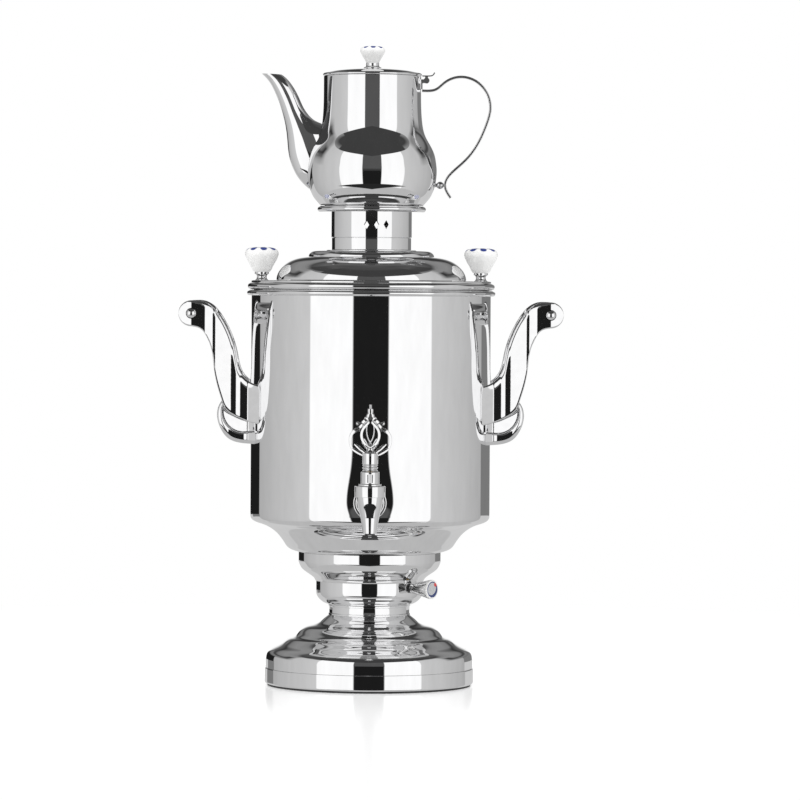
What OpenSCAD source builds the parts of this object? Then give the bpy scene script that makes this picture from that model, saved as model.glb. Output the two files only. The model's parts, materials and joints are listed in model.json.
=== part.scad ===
// Electric samovar with a plug tap, side handles and a teapot on its crown.
// +Z is up, the tap faces -Y, and the origin is where the boiler's axis meets the table.

/* [Base] */
// Radius of the base band
base_r = 120.5; // [100:0.5:140]
// Height of the base band above the table
band_h = 20.5; // [16:0.5:30]
// Height of the stepped bell above the band
bell_h = 61; // [50:0.5:80]
// Height of the rubber ring that shows below the band
foot_h = 2; // [1:0.5:5]

/* [Pedestal] */
// Outer radius of the neck
neck_r = 47.3; // [42:0.1:52]
// Height of the neck
neck_h = 12; // [8:0.5:20]
// Outer radius of the bowl
bowl_r = 61.9; // [57:0.1:68]
// Height of the bowl
bowl_h = 27; // [22:0.5:36]
// Outer radius of the collar under the boiler
collar_r = 82.5; // [74:0.5:90]
// Height of the collar
collar_h = 33.5; // [28:0.5:40]

/* [Boiler] */
// Outer radius of the boiler wall
body_r = 139; // [125:0.5:155]
// Height of the boiler's ogee bottom
ogee_h = 46; // [40:0.5:55]
// Height of the straight boiler wall
wall_h = 250; // [230:1:300]
// Sheet thickness of the boiler and the pedestal
sheet = 1.2; // [0.8:0.1:1.6]
// Radius of the rolled bead on the boiler's rim
rim_bead_r = 3.3; // [2.5:0.1:4]

/* [Lid] */
// Distance from the boiler wall out to the lid's rolled edge
lid_out = 4.5; // [4:0.1:5.5]
// Radius of the bead round the lid
lid_bead_r = 4.2; // [3.5:0.1:5]
// Width of the flat ledge between the lid's edge and the dome
ledge_w = 33.1; // [30:0.1:40]
// Height of the dome
dome_h = 27.7; // [22:0.5:34]
// Outer radius of the tube that carries the crown
tube_r = 46.1; // [44.5:0.1:48]
// Height of that tube
tube_h = 15.3; // [10:0.5:20]
// Distance of the lid knobs inside the boiler wall
knob_in = 11; // [9:0.1:13]
// Height of a porcelain lid knob
knob_h = 28.6; // [24:0.5:34]
// Largest radius of a porcelain lid knob
knob_r = 19.5; // [15:0.5:22]
// Height of the ferrule under a lid knob
ferrule_h = 9.8; // [7:0.5:13]

/* [Crown] */
// Height of the crown's sleeve
crown_h = 29.5; // [26:0.5:40]
// Outer radius of the crown's flange
flange_r = 63; // [61:0.5:68]
// Radius of the flange's bead
flange_bead_r = 3.4; // [2.8:0.1:4]
// Width of a diamond vent
vent_w = 6.2; // [4:0.2:7]
// Height of a diamond vent
vent_h = 10.4; // [7:0.2:13]

/* [Teapot] */
// Outer radius of the pot's neck
pot_neck_r = 56.6; // [54:0.1:58]
// Outer radius of the pot's belly
pot_belly_r = 75.3; // [71:0.1:78]
// Height of the pot from its base to its rim
pot_h = 149.5; // [140:0.5:160]
// Sheet thickness of the teapot
pot_sheet = 1; // [0.7:0.1:1.4]
// Height of the teapot lid's dome
pot_lid_h = 9.5; // [7:0.5:12]
// Height of the teapot's porcelain knob
pot_knob_h = 19.6; // [16:0.2:24]
// Largest radius of the teapot's porcelain knob
pot_knob_r = 14.4; // [12:0.2:17]
// Width of the teapot's handle strip
strip_w = 14; // [10:0.5:18]
// Thickness of the teapot's handle strip
strip_t = 2.6; // [2:0.1:3.2]

/* [Side handles] */
// Distance of the grip from the boiler's axis
grip_x = 206.2; // [200:0.2:215]
// Height of the grip above the table
grip_z = 429; // [420:1:440]
// Radius of the brackets' round ends
end_r = 14.9; // [13:0.1:17]
// Radius of the grip
grip_r = 12.5; // [10:0.1:12.6]
// Distance of the brackets' outer faces from the middle plane
bracket_y = 54; // [50:0.5:60]
// Thickness of a bracket
bracket_t = 8; // [6:0.5:10]

/* [Tap] */
// Distance of the tap's plug from the boiler's axis
tap_y = 228.5; // [215:0.5:240]
// Height of the tap's pipe above the table
tap_z = 217; // [212:0.5:222]
// Radius of the plug
plug_r = 10; // [9:0.1:10.4]
// Radial running clearance of the plug
plug_gap = 0.06; // [0.03:0.01:0.1]
// Radius of the passage through the tap
port_r = 5; // [3.5:0.1:5.4]
// Half width of the key's ornament
key_half_w = 23.2; // [20:0.2:26]

/* [Thermostat] */
// Direction of the thermostat knob, to the right of the front
knob_az = 50; // [35:1:70]
// Length of the thermostat knob
dial_l = 27; // [22:0.5:32]
// Radius of the knob's face
dial_r = 11; // [9:0.1:12.5]

/* [Hidden] */
$fn = 64;

// Clearances and one overrun for every cut
seat = 0.1;
lift_gap = 0.3;
over = 1;
smooth = 4;
fine = 240;

// Levels above the table
bell_z = band_h;
neck_z = bell_z + bell_h;
bowl_z = neck_z + neck_h;
collar_z = bowl_z + bowl_h;
ogee_z = collar_z + collar_h;
wall_z = ogee_z + ogee_h;
rim_z = wall_z + wall_h;
rim_top = rim_z + 2 * rim_bead_r;
ledge_rise = 2.2;
ledge_z = rim_top + lift_gap + 2 * lid_bead_r + ledge_rise;

step_z = ledge_z + dome_h;
step_h = 6.6;
step_w = 7;
step_r = 73;
lid_top = step_z + step_h;
tube_top = lid_top + tube_h;
crown_z = tube_top + lift_gap;
flange_z = crown_z + crown_h;
pot_base_z = flange_z + sheet + lift_gap;
pot_base_h = 6;
pot_z = pot_base_z + pot_base_h;
pot_rim = pot_z + pot_h;
inner_r = body_r - sheet;
lid_r = body_r + lid_out;
dome_r = lid_r - ledge_w;
knob_place_r = inner_r - knob_in;

// Outlines: radius and height as shares between two radii and two heights
bell_shares = [[1, 0.172], [0.978, 0.278], [0.907, 0.355], [0.776, 0.432], [0.706, 0.488],
  [0.632, 0.545], [0.529, 0.594], [0.483, 0.66], [0.432, 0.722], [0.313, 0.789],
  [0.152, 0.853], [0.08, 0.925], [0, 1]];
bowl_shares = [[0, 0], [0.435, 0.09], [0.633, 0.17], [0.796, 0.26], [0.912, 0.36],
  [0.985, 0.5], [1, 0.68], [1, 1]];
collar_shares = [[0.03, 0], [0.12, 0.097], [0.244, 0.165], [0.557, 0.3], [0.816, 0.435],
  [0.935, 0.574], [1, 0.7], [1, 1]];
ogee_shares = [[0, 0], [0.097, 0.035], [0.191, 0.085], [0.253, 0.157], [0.297, 0.24],
  [0.354, 0.34], [0.42, 0.44], [0.51, 0.54], [0.637, 0.64], [0.779, 0.712], [0.894, 0.76],
  [0.968, 0.826], [0.995, 0.913], [1, 1]];
pot_shares = [[0.16, 0], [0.37, 0.03], [0.572, 0.061], [0.77, 0.107], [0.963, 0.202],
  [1, 0.281], [0.957, 0.334], [0.861, 0.396], [0.588, 0.473], [0.257, 0.55], [0.086, 0.642],
  [0.021, 0.742], [0, 0.87], [0, 1]];
knob_shares = [[0.475, 0], [0.62, 0.2], [0.79, 0.42], [0.96, 0.64], [1, 0.74], [0.97, 0.84],
  [0.86, 0.93], [0.6, 0.985], [0.3, 1]];

// A smooth curve through points, with sub steps between each pair
function knot(p, i) = p[min(max(i, 0), len(p) - 1)];
function spline_at(p, i, t) =
  0.5 * (2 * knot(p, i) + t * (knot(p, i + 1) - knot(p, i - 1))
    + t * t * (2 * knot(p, i - 1) - 5 * knot(p, i) + 4 * knot(p, i + 1) - knot(p, i + 2))
    + t * t * t * (3 * knot(p, i) - knot(p, i - 1) - 3 * knot(p, i + 1) + knot(p, i + 2)));
function spline(p, sub = smooth) =
  concat([for (i = [0 : len(p) - 2]) for (s = [0 : sub - 1]) spline_at(p, i, s / sub)],
    [p[len(p) - 1]]);
function between(shares, r0, r1, z0, z1) =
  [for (s = shares) [r0 + s[0] * (r1 - r0), z0 + s[1] * (z1 - z0)]];
function unit(v) = v / norm(v);
function heading(p, i) = unit(knot(p, i + 1) - knot(p, i - 1));
// The same curve moved sideways, to its left for a positive distance
function beside(p, d) =
  [for (i = [0 : len(p) - 1]) let (h = heading(p, i)) p[i] + d * [-h[1], h[0]]];
function backwards(p) = [for (i = [len(p) - 1 : -1 : 0]) p[i]];
function ribbon(p, d) = concat(p, backwards(beside(p, d)));
function arc(c, rx, ry, a0, a1, n = 8) =
  [for (i = [0 : n]) let (a = a0 + (a1 - a0) * i / n) c + [rx * cos(a), ry * sin(a)]];

module bar(line, w) {
  polygon(concat(beside(line, -w / 2), backwards(beside(line, w / 2))));
}

module lathe(points) {
  rotate_extrude() polygon(points);
}

module ring(r_out, r_in, h) {
  difference() {
    cylinder(r = r_out, h = h);
    translate([0, 0, -over]) cylinder(r = r_in, h = h + 2 * over);
  }
}

module bead(r_centre, r_wire) {
  rotate_extrude() translate([r_centre, 0]) circle(r = r_wire, $fn = 32);
}

// Base
foot_w = 9;
foot_inset = 3;
plate_t = 1.2;
plate_z = foot_h + sheet;
band_lip = 14;
spigot_h = 4;
screw_r = 2;
screw_place_r = base_r - foot_inset - foot_w - band_lip / 2;
screw_count = 6;

module foot_ring() {
  color("black") ring(base_r - foot_inset, base_r - foot_inset - foot_w, foot_h);
}

module screw_places() {
  for (i = [0 : screw_count - 1]) rotate(i * 360 / screw_count + 30)
    translate([screw_place_r, 0, 0]) children();
}

module base_band() {
  round_r = 2.5;
  lip_in = base_r - foot_inset - foot_w - band_lip;
  color("silver") difference() {
    lathe(concat([[lip_in, foot_h]],
      arc([base_r - round_r, foot_h + round_r], round_r, round_r, -90, 0, 4),
      [[base_r, band_h - seat], [base_r - sheet, band_h - seat], [base_r - sheet, plate_z - seat],
        [lip_in, plate_z - seat]]));
    screw_places() cylinder(r = screw_r + seat, h = band_h);
    translate([0, base_r - band_lip, gland_z]) rotate([-90, 0, 0])
      cylinder(r = gland_out_r + seat, h = 2 * band_lip);
  }
}

module base_plate() {
  plate_r = base_r - 2 * sheet - spigot_h;
  air_hole_r = 4.7;
  color("gainsboro") difference() {
    translate([0, 0, plate_z]) cylinder(r = plate_r, h = plate_t);
    cylinder(r = tie_r + seat, h = band_h);
    screw_places() cylinder(r = screw_r + seat, h = band_h);
    for (i = [0 : screw_count - 1]) rotate(i * 360 / screw_count)
      translate([base_r / 2, 0, 0]) cylinder(r = air_hole_r, h = band_h);
  }
}

module base_plate_screws() {
  head_r = 3.6;
  head_h = 1.6;
  color("gray") screw_places() {
    translate([0, 0, plate_z + plate_t + seat / 2]) cylinder(r = head_r, h = head_h);
    translate([0, 0, foot_h]) cylinder(r = screw_r, h = sheet + plate_t + head_h);
  }
}

module base_bell() {
  inset = 0.8;
  outer = concat([[base_r - inset, bell_z]],
    spline(between(bell_shares, neck_r, base_r - inset, bell_z, neck_z)));
  inner = backwards(beside(outer, sheet));
  top_in = neck_r - spigot_h;
  spigot_r = base_r - sheet - seat;
  color("silver") lathe(concat(
    [[spigot_r, bell_z - spigot_h], [spigot_r, bell_z]],
    [for (p = outer) [p[0], min(p[1], neck_z)]],
    [[top_in, neck_z], [top_in, neck_z - sheet]],
    [for (p = inner) if (p[0] > top_in + over && p[1] < neck_z - sheet) p],
    [[spigot_r - 2 * sheet, bell_z - spigot_h]]));
}

// Pedestal
tie_r = 6.5;
tie_in_r = 4.5;
nut_r = 12;
nut_h = 6;
floor_z = ogee_z;

module pedestal_neck() {
  groove_h = 2;
  groove = 0.8;
  color("silver") lathe([
    [neck_r - sheet, neck_z + seat], [neck_r, neck_z + seat],
    [neck_r, neck_z + groove_h], [neck_r - groove, neck_z + groove_h],
    [neck_r - groove, bowl_z - groove_h], [neck_r, bowl_z - groove_h],
    [neck_r, bowl_z - seat], [neck_r - 2 * sheet - groove, bowl_z - seat],
    [neck_r - 2 * sheet - groove, neck_z + groove_h],
    [neck_r - sheet - groove, neck_z + seat]]);
}

module pedestal_bowl() {
  outer = spline(between(bowl_shares, neck_r, bowl_r, bowl_z, collar_z));
  lip = 4;
  color("silver") difference() {
    lathe(concat(
      [[neck_r - lip, bowl_z], [neck_r, bowl_z]], outer, [[bowl_r - sheet, collar_z]],
      [for (p = backwards(beside(outer, sheet))) if (p[1] > bowl_z + sheet && p[1] < collar_z - over) p],
      [[neck_r - lip, bowl_z + sheet]]));
    dial_frame() translate([0, 0, bowl_r - gland_l]) cylinder(r = gland_r + seat, h = 2 * gland_l);
  }
}

module support_collar() {
  outer = spline(between(collar_shares, bowl_r, collar_r, collar_z + seat, ogee_z - seat));
  lip = 4;
  color("silver") lathe(concat(
    [[bowl_r - lip, collar_z + seat]], outer, [[collar_r - sheet, ogee_z - seat]],
    [for (p = backwards(beside(outer, sheet)))
      if (p[1] > collar_z + 2 * sheet && p[1] < ogee_z - over) p],
    [[bowl_r - lip, collar_z + seat + sheet]]));
}

module tie_tube() {
  head_w = 3;
  color("darkgray") translate([0, 0, foot_h]) {
    ring(tie_r + head_w, tie_in_r, sheet - seat);
    ring(tie_r, tie_in_r, floor_z + sheet + nut_h + over - foot_h);
  }
}

module lock_nuts() {
  color("darkgray") {
    translate([0, 0, plate_z + plate_t]) ring_nut(nut_r, tie_r + seat / 2, nut_h);
    translate([0, 0, floor_z + sheet]) ring_nut(nut_r, tie_r + seat / 2, nut_h);
    translate([0, base_r - sheet - gland_nut_h, gland_z]) rotate([-90, 0, 0])
      ring_nut(1.3 * gland_out_r, gland_out_r + seat / 2, gland_nut_h - 4 * seat);
    translate([0, -inner_r + nut_h + tap_seal_t + pipe_bow, tap_z]) rotate([90, 0, 0])
      ring_nut(pipe_r + 3 * sheet, pipe_r + seat / 2, nut_h);
  }
}

module ring_nut(r_out, r_in, h) {
  difference() {
    cylinder(r = r_out, h = h, $fn = 6);
    translate([0, 0, -over]) cylinder(r = r_in, h = h + 2 * over);
  }
}

gland_z = 10;
gland_out_r = 5;
gland_bore_r = 3.75;
gland_nut_h = 5;
gland_flange_r = 7;
gland_flange_h = 3;

module cord_gland() {
  back = 6;
  front = 10;
  color("black") translate([0, 0, gland_z]) rotate([-90, 0, 0]) difference() {
    union() {
      translate([0, 0, base_r - front]) cylinder(r = gland_out_r, h = front);
      translate([0, 0, base_r + seat]) cylinder(r = gland_flange_r, h = gland_flange_h);
      translate([0, 0, base_r]) cylinder(r = gland_out_r, h = back);
    }
    translate([0, 0, base_r - front - over])
      cylinder(r = gland_bore_r, h = front + back + 2 * over);
  }
}

// Boiler
pipe_r = 9.5;
pipe_bow = 1.4;
tap_seal_t = 2;
leg_r = 4;
leg_place_r = 62;
leg_az = 9;
element_rise = 22;
element_z = floor_z + element_rise;
bracket_screw_r = 2;
low_screw_drop = 119;
high_screw_drop = 87;
bracket_screw_z = [grip_z - low_screw_drop, grip_z - high_screw_drop];
bracket_az = asin((bracket_y - bracket_t * 1.5) / body_r);

module leg_places() {
  for (s = [-1, 1]) rotate(90 + s * leg_az) translate([leg_place_r, 0, 0]) children();
}

// The four places where the brackets meet the wall, with +Z pointing outwards
module bracket_places() {
  for (side = [0, 180]) for (s = [-1, 1]) for (z = bracket_screw_z)
    translate([0, 0, z]) rotate([0, 90, side + s * bracket_az]) children();
}

module kettle_bottom() {
  outer = spline(between(ogee_shares, collar_r, body_r, ogee_z, wall_z));
  color("silver") difference() {
    lathe(concat([[0, floor_z]], outer, [[body_r - sheet, wall_z]],
      [for (p = backwards(beside(outer, sheet))) if (p[1] > floor_z + 2 * sheet && p[1] < wall_z - over) p],
      [[collar_r - sheet, floor_z + sheet], [0, floor_z + sheet]]));
    translate([0, 0, floor_z - over]) cylinder(r = tie_r + seat, h = sheet + 2 * over);
    leg_places() translate([0, 0, floor_z - over]) cylinder(r = leg_r + seat, h = sheet + 2 * over);
    translate([capillary_x, capillary_y, floor_z - over])
      cylinder(r = capillary_r + seat, h = sheet + 2 * over);
  }
}

module kettle_wall() {
  color("silver") difference() {
    union() {
      translate([0, 0, wall_z]) ring(body_r, inner_r, wall_h + rim_bead_r);
      translate([0, 0, rim_z + rim_bead_r]) bead(inner_r + rim_bead_r, rim_bead_r);
    }
    translate([0, -inner_r + over + pipe_r, tap_z]) rotate([90, 0, 0])
      cylinder(r = pipe_r + seat, h = 2 * pipe_r + over);
    bracket_places() translate([0, 0, inner_r - over])
      cylinder(r = bracket_screw_r + seat, h = sheet + 2 * over, $fn = 24);
  }
}

module heater_element() {
  pin_r = 1.6;
  pin_h = 8;
  leg_h = 38;
  sweep = 360 - 2 * leg_az;
  color("dimgray") {
    translate([0, 0, element_z]) rotate(90 + leg_az)
      rotate_extrude(angle = sweep) translate([leg_place_r, 0]) circle(r = leg_r, $fn = 24);
    leg_places() {
      translate([0, 0, element_z - leg_h]) cylinder(r = leg_r, h = leg_h + leg_r + seat, $fn = 24);
      translate([0, 0, element_z - leg_h - pin_h]) cylinder(r = pin_r, h = pin_h + over, $fn = 24);
    }
  }
}

module heater_flange() {
  plate_h = 2.5;
  boss_r = 11;
  color("silver") translate([0, 0, floor_z + sheet]) difference() {
    union() {
      leg_places() cylinder(r = boss_r, h = plate_h);
      translate([-boss_r, leg_place_r - boss_r, 0]) cube([2 * boss_r, 2 * boss_r, plate_h]);
    }
    leg_places() translate([0, 0, -over]) cylinder(r = leg_r + seat / 2, h = plate_h + 2 * over, $fn = 24);
  }
}

module heater_nuts() {
  color("goldenrod") leg_places() translate([0, 0, floor_z - nut_h])
    ring_nut(1.9 * leg_r, leg_r + seat / 2, nut_h);
}

module thermal_cutout() {
  disc_r = 9;
  disc_h = 7;
  tab = [1.2, 5, 8];
  cutout_x = -46;
  color("saddlebrown") translate([cutout_x, 0, floor_z]) {
    translate([0, 0, -disc_h]) cylinder(r = disc_r, h = disc_h);
    for (s = [-1, 1]) translate([s * disc_r / 2 - tab[0] / 2, -tab[1] / 2, -disc_h - tab[2]])
      cube([tab[0], tab[1], tab[2] + over]);
  }
}

// Thermostat, in a frame whose +Z leaves the bowl along the knob's shaft
dial_drop = 6;
dial_z = collar_z - dial_drop;
gland_r = 5;
gland_l = 6;
gasket_r = 5.6;
gasket_t = 2.4;
shaft_r = 3;
shaft_gap = 0.05;
stat_size = [34, 22, 20];
stat_out = bowl_r - 16;
capillary_r = 1;
capillary_x = -30;
capillary_y = -30;
dial_gap = 0.4;
dial_z0 = bowl_r + gasket_t + dial_gap;

module dial_frame() {
  translate([0, 0, dial_z]) rotate([90, 0, knob_az]) children();
}

module thermostat_body() {
  color("ivory") dial_frame() difference() {
    union() {
      translate([-stat_size[0] / 2, -stat_size[1] / 2 - 1.5 * sheet, stat_out - stat_size[2]])
        cube([stat_size[0], stat_size[1], stat_size[2]]);
      translate([0, 0, stat_out - over]) cylinder(r = gland_r, h = bowl_r - stat_out - sheet);
    }
    translate([0, 0, stat_out - stat_size[2] / 2]) cylinder(r = shaft_r + shaft_gap, h = bowl_r);
  }
}

module thermostat_gland() {
  color("black") dial_frame() difference() {
    union() {
      translate([0, 0, bowl_r - sheet - over + seat])
        cylinder(r = gland_r, h = gasket_t + sheet + over - seat);
      difference() {
        translate([0, 0, bowl_r - gasket_t]) cylinder(r = gasket_r, h = 2 * gasket_t);
        rotate([-90, 0, 0]) translate([0, 0, -2 * gasket_r]) cylinder(r = bowl_r + seat, h = 4 * gasket_r);
      }
    }
    translate([0, 0, bowl_r - gland_l]) cylinder(r = shaft_r + shaft_gap, h = 2 * gland_l);
  }
}

module thermostat_shaft() {
  color("goldenrod") dial_frame() translate([0, 0, stat_out - stat_size[2] / 2 + over])
    cylinder(r = shaft_r, h = dial_z0 - stat_out + stat_size[2] / 2 - over + dial_l / 2);
}

module thermostat_knob() {
  root_r = 6;
  rim_w = 1.6;
  color("silver") dial_frame() difference() {
    rotate_extrude() polygon([
      [0, dial_z0], [root_r - over, dial_z0], [root_r, dial_z0 + over],
      [root_r, dial_z0 + 3 * over], [dial_r - seat, dial_z0 + dial_l - 2 * rim_w],
      [dial_r - seat, dial_z0 + dial_l], [0, dial_z0 + dial_l]]);
    translate([0, 0, dial_z0 - over]) cylinder(r = shaft_r + seat / 2, h = dial_l / 2 + over + seat);
  }
}

module dial_cap() {
  cap_t = 2.4;
  round_r = 0.9;
  color("white") dial_frame() translate([0, 0, dial_z0 + dial_l])
    lathe(concat([[0, 0], [dial_r - seat, 0]],
      arc([dial_r - round_r, cap_t - round_r], round_r, round_r, 0, 90, 4), [[0, cap_t]]));
}

// A round wire through points, one ring of sides at each
wire_sides = 8;

function wire_ring(p, i, r) =
  let (h = heading(p, i), u = unit(cross(h, [0.36, 0.48, 0.8])), v = cross(h, u))
  [for (k = [0 : wire_sides - 1]) p[i] + r * (cos(360 * k / wire_sides) * u + sin(360 * k / wire_sides) * v)];

module wire(p, r) {
  n = wire_sides;
  m = len(p);
  polyhedron([for (i = [0 : m - 1]) each wire_ring(p, i, r)], concat(
    [[for (k = [0 : n - 1]) k], [for (k = [n - 1 : -1 : 0]) (m - 1) * n + k]],
    [for (i = [0 : m - 2]) for (k = [0 : n - 1]) each
      let (a = i * n + k, b = i * n + (k + 1) % n) [[a, a + n, b + n], [a, b + n, b]]]));
}

module sensor_bulb() {
  bulb_r = 3;
  bulb_l = 56;
  bulb_z = floor_z + sheet + bulb_r + seat;
  back = [stat_out - stat_size[2], dial_z];
  color("peru") {
    translate([capillary_x, capillary_y - bulb_l / 2, bulb_z]) rotate([-90, 0, 0])
      cylinder(r = bulb_r, h = bulb_l / 2 - over);
    wire([
      [capillary_x, capillary_y - 2 * over, bulb_z], [capillary_x, capillary_y, bulb_z],
      [capillary_x, capillary_y, dial_z + stat_size[1]],
      [back[0] * sin(knob_az) / 2, -back[0] * cos(knob_az) / 2 - stat_size[1] / 3, dial_z],
      [(back[0] - sheet / 2) * sin(knob_az), -(back[0] - sheet / 2) * cos(knob_az), dial_z]],
      capillary_r);
  }
}

block_size = [34, 16, 14];
block_place = [-17, 54, plate_z + plate_t];
wire_r = 1.5;

module terminal_block() {
  screw_hole_r = 1.8;
  ways = 3;
  pitch = block_size[0] / ways;
  color("ivory") translate(block_place) difference() {
    cube(block_size);
    for (i = [0 : ways - 1]) translate([pitch * (i + 0.5), block_size[1] / 2, block_size[2] / 2])
      cylinder(r = screw_hole_r, h = block_size[2]);
  }
}

module internal_wires() {
  top = block_place[2] + block_size[2];
  x0 = block_place[0] + block_size[0] / 6;
  pitch = block_size[0] / 3;
  y0 = block_place[1];
  rise_r = 3 * tie_r;
  cord_in = 14;
  tail_drop = 4;
  loop_rise = 20;
  color("firebrick") {
    wire([[0, base_r - cord_in, gland_z], [0, y0 + block_size[1] + seat, gland_z]],
      gland_bore_r - over);
    wire([[x0 + 2 * pitch, y0 - wire_r, top - tail_drop], [x0 + 2 * pitch, rise_r, top + loop_rise],
      [rise_r / 2, rise_r, neck_z], [rise_r / 2, rise_r, dial_z + stat_size[1]],
      [leg_place_r * sin(leg_az), leg_place_r - 2 * leg_r, floor_z - 4 * nut_h + leg_r],
      [leg_place_r * sin(leg_az), leg_place_r - wire_r - leg_r / 2, floor_z - 3 * nut_h - leg_r / 2]], wire_r);
    wire([[x0, y0 - wire_r, top - tail_drop], [x0, rise_r, top + loop_rise],
      [-rise_r / 2, rise_r, neck_z], [-rise_r / 2, rise_r, dial_z + stat_size[1]],
      [-leg_place_r * sin(leg_az), leg_place_r - 2 * leg_r, floor_z - 4 * nut_h + leg_r],
      [-leg_place_r * sin(leg_az), leg_place_r - wire_r - leg_r / 2, floor_z - 3 * nut_h - leg_r / 2]], wire_r);
  }
}

// Lid
skirt_h = 11;
skirt_gap = 1.3;
lid_wall = 1;

module boiler_lid() {
  bead_z = rim_top + lift_gap + lid_bead_r;
  skirt_r = inner_r - skirt_gap;
  edge_r = lid_r - lid_bead_r;
  dome = arc([step_r, ledge_z], dome_r - step_r, dome_h, 0, 84, 12);
  step = arc([step_r - step_w, step_z], step_w, step_h, 0, 90, 6);
  inside = arc([step_r, ledge_z], dome_r - step_r - lid_wall, dome_h - lid_wall, 90, 0, 12);
  color("silver") difference() {
    union() {
      lathe(concat(
        [[edge_r, bead_z], [edge_r, ledge_z - lid_wall], [edge_r - lid_wall, ledge_z]], dome, step,
        [[tube_r - lid_wall, lid_top], [tube_r - lid_wall, lid_top - lid_wall],
          [step_r - step_w, lid_top - lid_wall], [step_r - lid_wall, step_z - lid_wall]],
        inside, [[dome_r - lid_wall, ledge_z - lid_wall], [skirt_r - lid_wall, ledge_z - lid_wall],
          [skirt_r - lid_wall, rim_top - skirt_h], [skirt_r, rim_top - skirt_h], [skirt_r, bead_z]]));
      translate([0, 0, bead_z]) bead(edge_r, lid_bead_r);
    }
    for (s = [-1, 1]) translate([s * knob_place_r, 0, ledge_z - 4 * over])
      cylinder(r = knob_screw_r + seat, h = 8 * over);
  }
}

module lid_collar() {
  foot = 6;
  color("silver") lathe([
    [tube_r - lid_wall, lid_top + seat], [tube_r + foot, lid_top + seat],
    [tube_r + foot, lid_top + seat + lid_wall], [tube_r, lid_top + seat + lid_wall],
    [tube_r, tube_top], [tube_r - lid_wall, tube_top]]);
}

knob_screw_r = 2;

module porcelain(r, h, bore) {
  color("white") difference() {
    lathe(concat([[0, 0]], spline(between(knob_shares, 0, r, 0, h)), [[0, h]]));
    translate([0, 0, -over]) cylinder(r = bore, h = h * 0.6 + over);
  }
}

module ferrule(r, h, bore) {
  waist_shares = [[0.56, 0], [0.5, 0.18], [0.62, 0.5], [0.8, 0.66]];
  color("silver") difference() {
    lathe(concat([[0, 0]], between(waist_shares, 0, r, 0, h), [[r, 0.68 * h], [r, h], [0, h]]));
    translate([0, 0, -over]) cylinder(r = bore, h = h + 2 * over);
  }
}

module left_lid_ferrule() {
  translate([-knob_place_r, 0, ledge_z]) ferrule(knob_r / 2, ferrule_h, knob_screw_r + seat);
}

module right_lid_ferrule() {
  translate([knob_place_r, 0, ledge_z]) ferrule(knob_r / 2, ferrule_h, knob_screw_r + seat);
}

module left_lid_knob() {
  translate([-knob_place_r, 0, ledge_z + ferrule_h]) porcelain(knob_r, knob_h, knob_screw_r + seat);
}

module right_lid_knob() {
  translate([knob_place_r, 0, ledge_z + ferrule_h]) porcelain(knob_r, knob_h, knob_screw_r + seat);
}

module lid_knob_screws() {
  head_r = 3.4;
  head_h = 2;
  color("gray") for (s = [-1, 1]) translate([s * knob_place_r, 0, ledge_z - lid_wall]) {
    translate([0, 0, -head_h]) cylinder(r = head_r, h = head_h);
    cylinder(r = knob_screw_r, h = lid_wall + ferrule_h + knob_h / 2);
  }
}

// Crown
spigot_deep = 12;
crown_r = tube_r + 0.6;
spigot_gap = 0.4;

module crown_sleeve() {
  vent_z = crown_z + crown_h / 2;
  vent_step = 14;
  vents = 3;
  inner = tube_r - lid_wall - spigot_gap;
  color("silver") difference() {
    lathe([
      [inner - lid_wall, crown_z - spigot_deep], [inner, crown_z - spigot_deep],
      [inner, crown_z], [crown_r, crown_z], [crown_r, flange_z],
      [crown_r - lid_wall, flange_z], [crown_r - lid_wall, crown_z + 2 * sheet],
      [inner - lid_wall, crown_z + sheet]]);
    for (half = [0, 180]) for (i = [0 : vents - 1])
      translate([0, 0, vent_z]) rotate([90, 0, half + vent_step * (i - 0.5)])
        linear_extrude(height = 2 * crown_r)
          polygon([[vent_w / 2, 0], [0, vent_h / 2], [-vent_w / 2, 0], [0, -vent_h / 2]]);
  }
}

module crown_flange() {
  web_in = crown_r - lid_wall;
  bead_r = flange_r - flange_bead_r;
  color("silver") union() {
    translate([0, 0, flange_z]) ring(bead_r, web_in, sheet);
    translate([0, 0, flange_z + flange_bead_r]) bead(bead_r, flange_bead_r);
  }
}

// Teapot
hinge_out = 5.9;
hinge_drop = 4.4;
hinge_x = pot_neck_r + hinge_out;
hinge_z = pot_rim - hinge_drop;
hinge_pin_r = 1.4;
knuckle_r = 3.4;
knuckle_w = 6;
ear_w = 2.6;
ear_gap = 0.2;
pin_gap = 0.05;
pot_lid_r = pot_neck_r + 1;
pot_lid_edge = 3.6;
pot_lid_z = pot_rim + lift_gap;
pot_ferrule_h = 6;
pot_ferrule_r = 7.6;
pot_knob_z = pot_lid_z + pot_lid_h;

module pot_form(grow = 0) {
  lathe(concat([[0, pot_z]],
    beside(spline(between(pot_shares, pot_neck_r, pot_belly_r, pot_z, pot_rim)), -grow),
    [[0, pot_rim]]));
}

module teapot_body() {
  outer = spline(between(pot_shares, pot_neck_r, pot_belly_r, pot_z, pot_rim));
  hole_r = 2.2;
  pitch = 7.5;
  low_share = 0.24;
  color("silver") difference() {
    lathe(concat([[0, pot_z]], outer, [[pot_neck_r - pot_sheet, pot_rim]],
      [for (p = backwards(beside(outer, pot_sheet)))
        if (p[1] > pot_z + 2 * pot_sheet && p[1] < pot_rim - over) p],
      [[pot_neck_r, pot_z + pot_sheet], [0, pot_z + pot_sheet]]));
    for (row = [0 : 4]) for (col = [-1 : 1])
      translate([-pot_belly_r - over, col * pitch, pot_z + low_share * pot_h + row * pitch])
        rotate([0, 90, 0]) cylinder(r = hole_r, h = pot_belly_r / 2, $fn = 24);
  }
}

module teapot_base() {
  side_gap = 1.2;
  color("gainsboro") translate([0, 0, pot_base_z])
    cylinder(r = flange_r - 2 * flange_bead_r - side_gap, h = pot_base_h - seat);
}

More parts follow.
